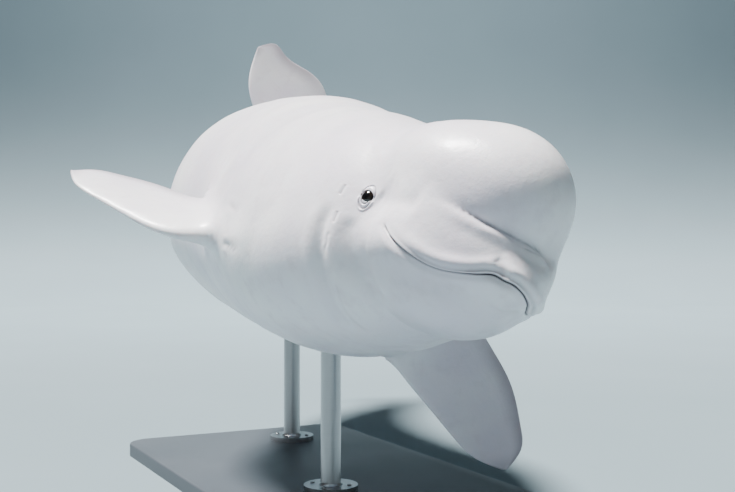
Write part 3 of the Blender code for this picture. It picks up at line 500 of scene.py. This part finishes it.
def ridge_rise(p):
    """Low notched ridge along the back, in place of a back fin."""
    behind = -p[:, 0]
    notches = 1 + NOTCH_DEPTH * np.sin(behind * NOTCH_RATE) * ramp(behind, 1.8, 2.0)
    height = RIDGE_HEIGHT * hump(behind, *RIDGE_RUN)
    return height * notches * bell(p[:, 1], RIDGE_HALF_WIDTH) * (p[:, 2] > 0)


def fold_points(points, side):
    return np.array(points) / 10000 * (1, side, 1)


def melon_relief(p):
    """Crease under the melon, the hollow above it and the swell below, and how dark it is: painted shade
    along the fold under the melon's overhang.
    """
    distance, along = offset_from(p, MELON_FOLD)
    level = np.interp(along, np.linspace(0, 1, len(MELON_FOLD)), MELON_FOLD[:, 2])
    above = ramp(p[:, 2] - level, -0.004, 0.002)
    middle = hump(along, 0.1, 0.45, 0.7, 0.98)
    relief = (waves(distance, MELON_SWELL) * (1 - above)
              - waves(distance, MELON_CREASE) - waves(distance, MELON_HOLLOW) * above)
    # Painted shade along the fold.
    return middle * relief, middle ** 2 * waves(distance, MELON_PAINTED_SHADE)


def shaped(p, line, eyes):
    """Skin points at rest with every fold, and how dark each point is (0 to 1): painted shade in creases,
    slots and pockets.
    """
    normals = skin_normals(p)
    rise, dark = waviness(p), np.zeros(len(p))
    for relief, shade in (mouth_relief(p, line), blowhole_relief(p), melon_relief(p)):
        rise += relief
        dark += shade
    for centre, reach, height in PUFFS:
        rise += height * bell(np.linalg.norm(p - centre, axis=1), reach)
    for width, depth, shade, both, points in FOLDS.values():
        for side in (1, -1)[:1 + both]:
            distance, along = offset_from(p, fold_points(points, side))
            ends = hump(along, 0, FOLD_FADE, 1 - FOLD_FADE, 1)
            beside = FOLD_SIDE_HEIGHT * bell(distance - FOLD_SIDE_PLACE * width, width)
            rise += depth * ends * (beside - bell(distance, width))
            # Painted shade: each fold darkened along its line.
            dark += shade * ends * bell(distance, width * FOLD_SHADE_WIDTH)
    p = p + normals * rise[:, None]
    p[:, 2] += ridge_rise(p)
    for eye in eyes.values():
        lift, eye_dark = eye_relief(p, eye)
        p = p + lift[:, None] * eye[1]
        dark += eye_dark
    return p, np.clip(dark, 0, 1)


# The pose.

def make_spine():
    behind = np.arange(0, SPINE_LENGTH + SPINE_STEP / 2, SPINE_STEP)
    angles = [np.radians(sum(stretch[i] * ramp(behind, *stretch[:2]) for stretch in SPINE_STRETCHES))
              for i in (2, 3, 4)]
    frames = np.array([turned("z", turn) @ turned("y", pitch) @ turned("x", roll)
                       for turn, pitch, roll in zip(*angles)])
    forward = frames[:, :, 0]
    centres = np.zeros((len(behind), 3))
    centres[1:] = -np.cumsum((forward[:-1] + forward[1:]) / 2 * SPINE_STEP, axis=0)
    return centres, frames


def turned(axis, angle):
    """Rotation matrix about a named axis."""
    c, s = cos(angle), sin(angle)
    return np.array({"x": [[1, 0, 0], [0, c, -s], [0, s, c]],
                     "y": [[c, 0, s], [0, 1, 0], [-s, 0, c]],
                     "z": [[c, -s, 0], [s, c, 0], [0, 0, 1]]}[axis])


SPINE_CENTRES, SPINE_FRAMES = make_spine()


def bent(p):
    """Points at rest, carried along by the bent spine."""
    behind = np.clip(-p[..., 0], 0, SPINE_LENGTH - SPINE_STEP)
    i = (behind / SPINE_STEP).astype(int)
    share = (behind / SPINE_STEP - i)[..., None]
    centre = SPINE_CENTRES[i] * (1 - share) + SPINE_CENTRES[i + 1] * share
    axes = SPINE_FRAMES[i] * (1 - share[..., None]) + SPINE_FRAMES[i + 1] * share[..., None]
    ahead = (p[..., 0] + behind)[..., None]
    return centre + axes[..., 0] * ahead + axes[..., 1] * p[..., 1:2] + axes[..., 2] * p[..., 2:3]


LEFTWARD = np.array([cos(HEAD_ROLL), sin(HEAD_ROLL) * sin(-HEAD_PITCH),
                     -sin(HEAD_ROLL) * cos(HEAD_PITCH)])
FORWARD = np.array([0, -cos(HEAD_PITCH), sin(HEAD_PITCH)])
HEAD_AXES = np.array([FORWARD, LEFTWARD, np.cross(FORWARD, LEFTWARD)])


def placed(p):
    """From the whale's own frame to the world."""
    return p @ HEAD_AXES + BEAK_PLACE


def carried(p, behind, offset):
    i = round(behind / SPINE_STEP)
    return placed(SPINE_CENTRES[i] + (p + np.array([0, *offset])) @ SPINE_FRAMES[i].T)


# Making the skin.

def deselect():
    for obj in bpy.context.selected_objects:
        obj.select_set(False)


def active(obj):
    deselect()
    obj.select_set(True)
    bpy.context.view_layer.objects.active = obj


def named(name):
    """The object just made."""
    obj = bpy.context.object
    obj.name = obj.data.name = name
    return obj


def raise_faces(height):
    bpy.ops.mesh.extrude_region_move(TRANSFORM_OT_translate={"value": (0, 0, height)})


def edit_mode(on=True):
    bpy.ops.object.mode_set(mode="EDIT" if on else "OBJECT")


def coordinates(mesh):
    flat = np.empty(len(mesh.vertices) * 3)
    mesh.vertices.foreach_get("co", flat)
    return flat.reshape(-1, 3)


def set_coordinates(mesh, p):
    mesh.vertices.foreach_set("co", np.ascontiguousarray(p, float).ravel())
    mesh.update()


def pick(mesh, kind, wanted):
    """Selects, in edit mode, the faces or edges that are wanted."""
    bm = bmesh.from_edit_mesh(mesh)
    for item in getattr(bm, kind):
        item.select_set(wanted(item))
    bmesh.update_edit_mesh(mesh)


def subdivide_near(obj, spots, levels):
    """Splits the faces whose middle lies near one of the spots; levels gives each round's reach."""
    active(obj)
    for reach in levels:
        edit_mode()
        bpy.ops.mesh.select_all(action="DESELECT")
        bpy.ops.mesh.select_mode(type="FACE")
        pick(obj.data, "faces", lambda face: any(
            (face.calc_center_median() - Vector(spot)).length < reach for spot in spots))
        bpy.ops.mesh.subdivide(number_cuts=1, quadcorner="INNERVERT")
        edit_mode(False)


def back_on_skin(p, chosen):
    """The chosen points, moved along their rays onto the smooth skin again."""
    q = p[chosen]
    centres = ray_centres(np.maximum(-q[:, 0], FAN_START))
    p = p.copy()
    p[chosen] = skin_points(centres, unit(q - centres))
    return p


def mesh_from_rings(name, rings, first, last):
    """A sphere laid out on the given rings and closed by a point at each end."""
    count, points = rings.shape[:2]
    deselect()
    bpy.ops.mesh.primitive_uv_sphere_add(segments=points, ring_count=count + 1, radius=1)
    obj = named(name)
    p = coordinates(obj.data)
    ring = np.rint(np.arccos(np.clip(p[:, 2], -1, 1)) / pi * (count + 1)).astype(int) - 1
    column = np.rint(np.arctan2(p[:, 1], p[:, 0]) / tau * points).astype(int) % points
    inner = rings[np.clip(ring, 0, count - 1), column]
    p = np.where((ring < 0)[:, None], first, np.where((ring >= count)[:, None], last, inner))
    set_coordinates(obj.data, p)
    return obj


def make_trunk():
    rings, line = rings_at_rest()
    eyes = eye_frames()
    beak = skin_point((-FAN_START, 0, 0), unit(BEAK_POLE))
    tail = np.array([-STOCK_END, 0, axis_height(STOCK_END)])
    trunk = mesh_from_rings("beluga_skin", rings, beak, tail)

    before = len(trunk.data.vertices)
    ears = [fold_points(FOLDS[name][-1], side)[1]
            for name in ("ear_upper", "ear_lower", "ear_rough") for side in (1, -1)]
    crown = skin_point((-HOLE_BEHIND + HOLE_AHEAD, HOLE_OFFSET, 0), (0, 0, 1))
    roots = [skin_point((-FLIPPER_BEHIND, 0, FLIPPER_HEIGHT[name]), (0, side, 0))
             for name, side in (("left", 1), ("right", -1))]
    for spots, levels in (([eye[0] for eye in eyes.values()], (0.04, 0.036, 0.027)),
                          (ears, (0.028, 0.023)), ([crown], (0.052, 0.046)), (roots, (0.21,))):
        subdivide_near(trunk, spots, levels)
    p = coordinates(trunk.data)
    p = back_on_skin(p, np.arange(len(p)) >= before)
    p, dark = shaped(p, line, eyes)
    set_coordinates(trunk.data, placed(bent(p)))
    return trunk, dark, eyes


def fin_mesh(name, rows):
    """A closed fin from rings that run from one end to the other."""
    fin = mesh_from_rings(name, rows, rows[0].mean(0), rows[-1].mean(0))
    active(fin)
    edit_mode()
    bpy.ops.mesh.select_all(action="SELECT")
    bpy.ops.mesh.normals_make_consistent(inside=False)
    edit_mode(False)
    return fin


def fin_rise(thick, angles):
    """Half thickness round a fin's section, fuller towards its leading edge."""
    return thick * np.sin(angles) * (1 - FIN_FRONT + FIN_FRONT * np.cos(angles))


def flipper(side, sections=46, points=44):
    name = "left" if side > 0 else "right"
    leading, trailing = curves(FLIPPER_PLAN)
    sweep, droop, pitch = np.radians(FLIPPER_SET[name])
    turn = turned("z", side * sweep) @ turned("x", -side * droop) @ turned("y", pitch)
    angles = np.linspace(0, tau, points, endpoint=False)
    crowded = 1 - (1 - np.linspace(0, 1, sections)) ** FIN_CROWDING
    shares = FLIPPER_ROOT + (FLIPPER_END - FLIPPER_ROOT) * crowded
    share = shares[:, None]
    front, rear = leading(share), trailing(share)
    swell = 1 + FLIPPER_SWELL * (1 - ramp(share, 0, FLIPPER_SWELL_END))
    thick = FLIPPER_THICK * swell * (FLIPPER_EDGE + (1 - FLIPPER_EDGE) * (1 - share) ** FIN_TAPER)
    across = (front + rear) / 2 + (front - rear) / 2 * np.cos(angles)
    fingers = FINGER_HEIGHT * np.sin(across * FINGER_RATE + share * FINGER_SLANT)
    fingers = fingers * hump(share, 0.15, 0.5, 0.75, 1)
    rise = fin_rise(thick + fingers, angles) + FLIPPER_TIP_RISE * np.maximum(share, 0) ** 2
    rows = np.stack([across, 0 * across + side * share * FLIPPER_SPAN, rise], -1)
    rim = fin_rim(shares, angles)
    rows = carried(rows @ turn.T, FLIPPER_BEHIND, (side * FLIPPER_SIDE, FLIPPER_HEIGHT[name]))
    return fin_mesh("flipper_" + name, rows), rows, rim


def fin_rim(shares, angles):
    """How grey the fin's rim is: most along the trailing edge and the tip."""
    edge = ramp(-np.cos(angles), 0.55, 1.0)[None, :] * ramp(shares, 0.1, 0.5)[:, None]
    return np.clip(RIM_SHADE * edge + TIP_SHADE * ramp(shares, 0.9, 1.0)[:, None], 0, 1)


def flukes(sections=81, points=40):
    """Both lobes as one fin, with the notch in the middle of its trailing edge."""
    leading, trailing = curves(FLUKE_PLAN)
    angles = np.linspace(0, tau, points, endpoint=False)
    sides = np.linspace(-1, 1, sections)
    shares = np.sign(sides) * (1 - (1 - np.abs(sides)) ** FIN_CROWDING) * FLUKE_END
    out = np.abs(shares)[:, None]
    front, rear = leading(out), trailing(out)
    across = -(front + rear) / 2 + (rear - front) / 2 * np.cos(angles)
    thick = FLUKE_THICK * (1 - out) ** FIN_TAPER + FLUKE_EDGE
    rows = np.stack([across, 0 * across + shares[:, None] * FLUKE_SPAN, fin_rise(thick, angles)], -1)
    rim = fin_rim(np.abs(shares), angles)
    rows = carried(rows @ turned("y", radians(FLUKE_PITCH)).T, FLUKE_BEHIND, (0, 0))
    return fin_mesh("flukes", rows), rows, rim


def tree_of(mesh):
    return BVHTree.FromPolygons([v.co.copy() for v in mesh.vertices],
                                [tuple(f.vertices) for f in mesh.polygons])


def signed(tree, point):
    """Distance outside a closed surface, and the way out."""
    spot, normal, _, distance = tree.find_nearest(point)
    away = point - spot
    outside = away.dot(normal) >= 0
    if distance < ON_SURFACE:
        return 0.0, normal
    return (distance, away / distance) if outside else (-distance, -away / distance)


def fillet(mesh, body, fin, softness):
    """Draws the skin out into a soft web where a fin leaves the body."""
    moved = [vert.index for vert in mesh.vertices if abs(signed(fin, vert.co)[0]) <= softness
             and abs(signed(body, vert.co)[0]) < softness]
    for _ in range(WEB_ROUNDS):
        for index in moved:
            vert = mesh.vertices[index]
            to_body, out_body = signed(body, vert.co)
            to_fin, out_fin = signed(fin, vert.co)
            h = min(max(0.5 + 0.5 * (to_fin - to_body) / softness, 0), 1)
            depth = to_fin + (to_body - to_fin) * h - softness * h * (1 - h)
            way = out_body * h + out_fin * (1 - h)
            if way.length > CLEAR_WAY:
                vert.co -= way.normalized() * depth * WEB_STEP
    return moved


def relax(mesh, chosen, rounds):
    bm = bmesh.new()
    bm.from_mesh(mesh)
    bm.verts.ensure_lookup_table()
    verts = [bm.verts[i] for i in chosen]
    for _ in range(rounds):
        bmesh.ops.smooth_vert(bm, verts=verts, factor=0.5, use_axis_x=True, use_axis_y=True, use_axis_z=True)
    bm.to_mesh(mesh)
    bm.free()


def make_skin():
    """Trunk and fins joined, softened where they meet, and marked with the painted shade of their creases
    and the grey rims of the fins.
    """
    trunk, dark, eyes = make_trunk()
    fins = [flipper(1), flipper(-1), flukes()]
    values = list(zip(dark.tolist(), [0.0] * len(dark)))
    points = coordinates(trunk.data).tolist()
    for _, rows, rim in fins:
        points += rows.reshape(-1, 3).tolist()
        values += [(0.0, r) for r in rim.ravel().tolist()]
    marks = KDTree(len(points))
    for i, point in enumerate(points):
        marks.insert(point, i)
    marks.balance()
    body = tree_of(trunk.data)
    trees = [tree_of(fin.data) for fin, *_ in fins]

    group = bpy.data.collections.new("fins")
    for fin, *_ in fins:
        group.objects.link(fin)
    union = trunk.modifiers.new("union", "BOOLEAN")
    union.operation, union.solver = "UNION", "EXACT"
    union.operand_type, union.collection = "COLLECTION", group
    active(trunk)
    bpy.ops.object.modifier_apply(modifier=union.name)
    for fin, *_ in fins:
        bpy.data.objects.remove(fin)
    bpy.data.collections.remove(group)

    for tree, softness in zip(trees, FIN_WEBS):
        relax(trunk.data, fillet(trunk.data, body, tree, softness), RELAX_ROUNDS)

    found = [values[marks.find(v.co)[1]] for v in trunk.data.vertices]
    # First attribute: painted shade of the creases, slots and eye pockets; second: the grey rims of the
    # fins.
    for name, column in zip(("crease_and_shade", "rim"), zip(*found)):
        trunk.data.attributes.new(name, "FLOAT", "POINT").data.foreach_set("value", column)
    trunk.data.shade_smooth()
    return trunk, eyes


# Materials.

def linear(hexcode):
    """Every surface colour goes through here, from a hex code to linear light."""
    channels = [int(hexcode[i:i + 2], 16) / 255 for i in (0, 2, 4)]
    return [c / 12.92 if c <= 0.04045 else ((c + 0.055) / 1.055) ** 2.4 for c in channels] + [1]


def new_material(name):
    m = bpy.data.materials.new(name)
    m.use_nodes = True
    m.node_tree.nodes.clear()
    return m, (add(m, "TexCoord"), "Object")


def add(m, kind, settings=None, **links):
    """A node with its settings (attributes or sockets) and links (socket from a node's output)."""
    tree = m.node_tree
    node = tree.nodes.new("ShaderNode" + kind)
    for key, value in (settings or {}).items():
        if hasattr(node, key):
            setattr(node, key, value)
        else:
            node.inputs[key].default_value = value
    for key, (source, output) in links.items():
        tree.links.new(source.outputs[output], node.inputs[key.replace("_", " ")])
    return node


def texture(m, place, scale, detail, roughness=0.5):
    return add(m, "TexNoise", {"Scale": scale, "Detail": detail, "Roughness": roughness},
               Vector=place), "Fac"


def spread(m, value, start, end, low=0.0, high=1.0):
    """What lies between low and high of a value, spread from start to end."""
    settings = {"From Min": low, "From Max": high, "To Min": start, "To Max": end}
    return add(m, "MapRange", settings, Value=value), 0


def pressed(m, height, strength, distance, **links):
    return add(m, "Bump", {"Strength": strength, "Distance": distance},
               Height=height, **links), "Normal"


def finish_material(m, settings, **links):
    """The material with its surface shader, from the shader's settings and links."""
    shader = add(m, "BsdfPrincipled", settings, **links)
    add(m, "OutputMaterial", Surface=(shader, 0))
    return m


def mix_colours(m, share, a, b):
    """A colour mix; share is a node and output, and a and b are too, or hex colours."""
    node = add(m, "Mix", {"data_type": "RGBA"})
    for source, socket in zip((share, a, b), (node.inputs[i] for i in (0, 6, 7))):
        if isinstance(source, str):
            socket.default_value = linear(source)
        else:
            m.node_tree.links.new(source[0].outputs[source[1]], socket)
    return node, 2


def whale_skin():
    """Smooth, thick, wet skin: near white above a pale lilac grey, soft light from within, grey fin rims and
    painted shade in the creases.
    """
    m, place = new_material("white whale skin")
    clouds = texture(m, place, scale=3.2, detail=3.0, roughness=0.55)
    blotches = texture(m, place, scale=22.0, detail=5.0, roughness=0.6)
    base = mix_colours(m, spread(m, clouds, 0.0, 0.75, low=0.38, high=0.68), "F3F1F4", "E0D8E6")
    base = mix_colours(m, spread(m, blotches, 0.0, 0.45, low=0.52, high=0.78), base, "D3C9D2")
    # Grey rims of the fins, then the dark painted shade of the creases, slots and eye pockets.
    for mark, colour in (("rim", "A9A1AB"), ("crease_and_shade", "4A3F48")):
        base = mix_colours(m, (add(m, "Attribute", {"attribute_name": mark}), "Fac"), base, colour)
    # Relief: hand-wide softness is in the mesh; here the 13 mm dimples and 3 mm wrinkles.
    dimples = texture(m, place, scale=75.0, detail=2.0)
    wrinkles = texture(m, place, scale=300.0, detail=4.0, roughness=0.6)
    low = pressed(m, dimples, strength=0.15, distance=0.004)
    fine = pressed(m, wrinkles, strength=0.16, distance=0.001, Normal=low)
    return finish_material(m, {
        "IOR": 1.4, "Subsurface Weight": 0.16, "Subsurface Radius": (1.0, 0.55, 0.45),
        "Subsurface Scale": 0.012, "Coat Weight": 0.18, "Coat Roughness": 0.16, "Coat IOR": 1.33},
        Base_Color=base, Roughness=spread(m, blotches, 0.3, 0.46, low=0.3, high=0.7), Normal=fine)


def eye_glass():
    """Moist eye: black pupil in a dark brown iris, under a clear, sharply glossy front."""
    m, place = new_material("dark moist eye")
    iris = add(m, "Attribute", {"attribute_name": "iris"}), "Fac"
    fibres = texture(m, place, scale=900.0, detail=3.0)
    base = mix_colours(m, fibres, "120E0C", "251C17")
    base = mix_colours(m, spread(m, iris, 1.0, 0.0, low=0.3, high=0.36), base, "050406")
    base = mix_colours(m, spread(m, iris, 0.0, 1.0, low=0.62, high=0.72), base, "3A3034")
    return finish_material(m, {"Roughness": 0.1, "IOR": 1.38, "Coat Weight": 1.0,
                               "Coat Roughness": 0.03}, Base_Color=base)


def brushed_steel():
    """Stainless tube, brushed round its length: fine rings that spread the highlight upwards."""
    m, place = new_material("brushed stainless steel")
    rings = add(m, "Mapping", {"Scale": (6.0, 6.0, 2600.0)}, Vector=place)
    brush = texture(m, (rings, "Vector"), scale=1.0, detail=4.0, roughness=0.7)
    tone = mix_colours(m, brush, "A4A6A8", "C6C8CA")
    return finish_material(m, {"Metallic": 1.0}, Base_Color=tone,
                           Roughness=spread(m, brush, 0.24, 0.4),
                           Normal=pressed(m, brush, strength=0.08, distance=0.0004))


def painted_board():
    """Satin dark grey paint rolled on board: faint orange peel and slightly uneven gloss."""
    m, place = new_material("satin painted board")
    roller = texture(m, place, scale=260.0, detail=2.0)
    patches = texture(m, place, scale=3.0, detail=3.0)
    tone = mix_colours(m, patches, "3B4147", "464C53")
    return finish_material(m, {"IOR": 1.46}, Base_Color=tone,
                           Roughness=spread(m, patches, 0.38, 0.56),
                           Normal=pressed(m, roller, strength=0.12, distance=0.0006))


def studio_paint():
    """Matt studio paint with a very faint unevenness."""
    m, place = new_material("pale studio paint")
    tone = mix_colours(m, texture(m, place, scale=0.8, detail=2.0), "6C7D84", "72838A")
    return finish_material(m, {"Roughness": 0.9}, Base_Color=tone)


# Eyes and stand.

CORNEA_BULGE, CORNEA_SPREAD, IRIS_SPAN, OUTWARD_STEP = 0.035, 26, 60, 0.01   # share, degrees, metres


def place_in_mesh(obj):
    active(obj)
    bpy.ops.object.transform_apply(location=True, rotation=True, scale=True)


def eyeball(name, eye, material):
    """Ball with the cornea's slight bulge at the front, and its iris marked by an attribute."""
    spot, out, _, _ = eye
    centre, ahead, here = (placed(bent((spot + reach * out)[None]))[0]
                           for reach in (-EYE_DEPTH, OUTWARD_STEP, 0))
    front = unit(ahead - here)
    deselect()
    bpy.ops.mesh.primitive_uv_sphere_add(segments=64, ring_count=40, radius=EYE_RADIUS)
    ball = named(name)
    p = coordinates(ball.data)
    p = p @ np.array(Vector((0, 0, 1)).rotation_difference(Vector(front)).to_matrix()).T
    away = np.degrees(np.arccos(np.clip(p @ front / EYE_RADIUS, -1, 1)))
    p = p * (1 + CORNEA_BULGE * bell(away, CORNEA_SPREAD))[:, None]
    set_coordinates(ball.data, p + centre)
    iris = ball.data.attributes.new("iris", "FLOAT", "POINT")
    iris.data.foreach_set("value", (away / IRIS_SPAN).tolist())
    ball.data.shade_smooth()
    ball.data.materials.append(material)
    return ball


BASE_WIDTH, BASE_LENGTH, BASE_THICK, BASE_CORNER, BASE_EDGE = 0.86, 1.5, 0.045, 0.09, 0.006
ROD_RADIUS, ROD_INTO_BELLY, RODS_BEHIND = 0.03, 0.01, {"front": 1.3, "rear": 2.15}
FLANGE_RADIUS, FLANGE_HEIGHT, FLANGE_EDGE = 0.08, 0.016, 0.0025
WELD, WELD_STEPS, WELD_RISE = 0.007, 5, 0.0018
SCREWS, SCREW_RADIUS, SCREW_DEPTH, SCREW_RISE, SCREW_OUT = 4, 0.0065, 0.004, 0.0012, 0.003
SCREW_SHOULDER, SCREW_DOME, SCREW_FACE, SOCKET_REACH, SOCKET_DEPTH = (
    0.0014, 0.001, 0.0022, 0.0028, 0.0024)
LEVEL, UPWARDS = 1e-5, 0.9   # how flat an edge lies and how far up a face looks


def height_of(edge):
    return abs(edge.verts[0].co.z - edge.verts[1].co.z)


def plinth(material):
    """Flat board with rounded corners and eased edges."""
    deselect()
    bpy.ops.mesh.primitive_cube_add(size=1, location=(0, 0, BASE_THICK / 2))
    board = named("stand_board")
    board.scale = (BASE_WIDTH, BASE_LENGTH, BASE_THICK)
    place_in_mesh(board)
    edit_mode()
    pick(board.data, "edges", lambda edge: height_of(edge) > BASE_THICK / 2)
    bpy.ops.mesh.bevel(offset=BASE_CORNER, segments=16)
    pick(board.data, "edges", lambda edge: height_of(edge) < LEVEL
         and edge.verts[0].co.z > BASE_THICK / 2
         and len(edge.link_faces) == 2 and edge.calc_face_angle() > 1)
    bpy.ops.mesh.bevel(offset=BASE_EDGE, segments=4)
    edit_mode(False)
    board.data.shade_smooth()
    board.data.set_sharp_from_angle(angle=radians(30))
    board.data.materials.append(material)
    return board


def rod(name, behind, material, skin_tree):
    """Tube welded to a round flange with four screws; its top end lies just inside the belly."""
    foot = placed(SPINE_CENTRES[round(behind / SPINE_STEP)])
    belly = skin_tree.ray_cast(Vector((foot[0], foot[1], 0.1)), Vector((0, 0, 1)))[0].z
    top, level = belly + ROD_INTO_BELLY, BASE_THICK + FLANGE_HEIGHT
    deselect()
    bpy.ops.mesh.primitive_cylinder_add(vertices=96, radius=FLANGE_RADIUS, depth=FLANGE_HEIGHT,
                                        location=(foot[0], foot[1], BASE_THICK + FLANGE_HEIGHT / 2))
    tube = named(name)
    place_in_mesh(tube)
    edit_mode()
    pick(tube.data, "faces", lambda face: face.normal.z > UPWARDS)
    bpy.ops.mesh.inset(thickness=FLANGE_EDGE)
    bpy.ops.mesh.inset(thickness=FLANGE_RADIUS - ROD_RADIUS - FLANGE_EDGE - WELD)
    widths = [ROD_RADIUS + WELD * (1 - sin(step / WELD_STEPS * pi / 2)) for step in range(WELD_STEPS + 1)]
    for now, goal in zip(widths[:-1], widths[1:]):
        raise_faces(WELD_RISE)
        bpy.ops.transform.resize(value=(goal / now, goal / now, 1),
                                 center_override=(foot[0], foot[1], level))
    raise_faces(top - level - WELD_STEPS * WELD_RISE)
    edit_mode(False)
    pieces = [tube]
    reach = (FLANGE_RADIUS + ROD_RADIUS) / 2 + SCREW_OUT
    for k in range(SCREWS):
        a = pi / 4 + k * pi / 2
        pieces.append(screw(foot[0] + reach * cos(a), foot[1] + reach * sin(a), level, 0.4 + 1.1 * k))
    active(tube)
    for piece in pieces:
        piece.select_set(True)
    bpy.ops.object.join()
    tube.data.shade_smooth()
    tube.data.set_sharp_from_angle(angle=radians(35))
    tube.data.materials.clear()
    tube.data.materials.append(material)
    return tube


def screw(x, y, level, twist):
    """Low domed screw head with a hexagon socket."""
    deselect()
    bpy.ops.mesh.primitive_cylinder_add(vertices=36, radius=SCREW_RADIUS, depth=SCREW_DEPTH,
                                        location=(x, y, level + SCREW_RISE))
    head = bpy.context.object
    place_in_mesh(head)
    edit_mode()
    pick(head.data, "faces", lambda face: face.normal.z > UPWARDS)
    bpy.ops.mesh.inset(thickness=SCREW_SHOULDER)
    bpy.ops.transform.translate(value=(0, 0, SCREW_DOME))
    bpy.ops.mesh.inset(thickness=SCREW_FACE)
    for vert in [v for v in bmesh.from_edit_mesh(head.data).verts if v.select]:
        angle = np.arctan2(vert.co.y - y, vert.co.x - x) - twist
        wedge = (angle + pi / 6) % (pi / 3) - pi / 6
        scale = SOCKET_REACH / cos(wedge) / np.hypot(vert.co.x - x, vert.co.y - y)
        vert.co.x, vert.co.y = x + (vert.co.x - x) * scale, y + (vert.co.y - y) * scale
    bmesh.update_edit_mesh(head.data)
    raise_faces(-SOCKET_DEPTH)
    edit_mode(False)
    return head


# The scene.

skin, eyes = make_skin()
skin.data.materials.append(whale_skin())
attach(skin, "root")
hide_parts("head", "lower_jaw", "neck", "chest", "abdomen", "tail_stock",
            "fluke_left", "fluke_right", "flipper_left", "flipper_right")

glass = eye_glass()
for name, eye in eyes.items():
    ball = eyeball("beluga_eye_" + name, eye, glass)
    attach(ball, "root")
    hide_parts("eye_" + name)

board = plinth(painted_board())
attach(board, "root")
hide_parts("stand_base")

steel = brushed_steel()
skin_tree = tree_of(skin.data)
for name, behind in RODS_BEHIND.items():
    tube = rod("stand_tube_" + name, behind, steel, skin_tree)
    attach(tube, "root")
    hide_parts("stand_rod_" + name)

# Floor and backdrop in one sweep: flat, a quarter bend, then upright, square to the camera.
VIEW_TURN = radians(27.0)
FRONT, BEND, RADIUS, LENGTH, STEPS = -14.0, 10.0, 6.0, 44.0, 220
deselect()
bpy.ops.mesh.primitive_grid_add(x_subdivisions=2, y_subdivisions=STEPS, size=LENGTH)
floor = bpy.context.object
floor.name = "floor"
p = coordinates(floor.data)
run = p[:, 1] + LENGTH / 2 + FRONT
angle = np.clip((run - BEND) / RADIUS, 0, pi / 2)
past = np.maximum(run - BEND - RADIUS * pi / 2, 0)
p[:, 1] = np.minimum(run, BEND) + RADIUS * np.sin(angle)
p[:, 2] = RADIUS * (1 - np.cos(angle)) + past
set_coordinates(floor.data, p @ turned("z", VIEW_TURN))
floor.data.shade_smooth()
floor.data.materials.append(studio_paint())

# Light from nearly straight above, as through the water's surface; a wash on the backdrop;
# a weak fill from the front and a faint surround.
for name, kind, place, aim, size, power, colour in (
        ("overhead", "SUN", (-1.11, 0.83, 5.0), (0, -0.3, 0.7), radians(12), 15.0, (1.0, 0.985, 0.96)),
        ("wash", "AREA", (3.2, 6.2, 8.0), (6.8, 13.4, 2.0), 5.0, 1500, (0.93, 0.97, 1.0)),
        ("fill", "AREA", (-4.0, -4.5, 1.6), (0, -0.3, 0.7), 3.0, 6, (0.95, 0.98, 1.0))):
    light = bpy.data.lights.new(name, kind)
    light.energy, light.color = power, colour
    if kind == "SUN":
        light.angle = size
    else:
        light.size = size
    lamp = bpy.data.objects.new(name, light)
    lamp.location = place
    lamp.rotation_euler = (Vector(aim) - Vector(place)).to_track_quat("-Z", "Y").to_euler()
    bpy.context.scene.collection.objects.link(lamp)
SURROUND_COLOUR, SURROUND_STRENGTH = (0.78, 0.84, 0.88, 1), 0.12
world = bpy.data.worlds.new("surround")
bpy.context.scene.world = world
world.use_nodes = True
world.node_tree.nodes["Background"].inputs[0].default_value = SURROUND_COLOUR
world.node_tree.nodes["Background"].inputs[1].default_value = SURROUND_STRENGTH

# Camera at the photograph's viewing angle.
CAMERA_PLACE, SENSOR_WIDTH, LENS = (-1.418, -3.174, 0.764), 36.0, 52.13
sight = bpy.data.cameras.new("camera")
sight.sensor_width, sight.lens = SENSOR_WIDTH, LENS
camera = bpy.data.objects.new("camera", sight)
c, s = cos(VIEW_TURN), sin(VIEW_TURN)
camera.matrix_world = Matrix.Translation(CAMERA_PLACE) @ Matrix(
    ((c, 0, -s, 0), (-s, 0, -c, 0), (0, 1, 0, 0), (0, 0, 0, 1)))
bpy.context.scene.collection.objects.link(camera)
bpy.context.scene.camera = camera
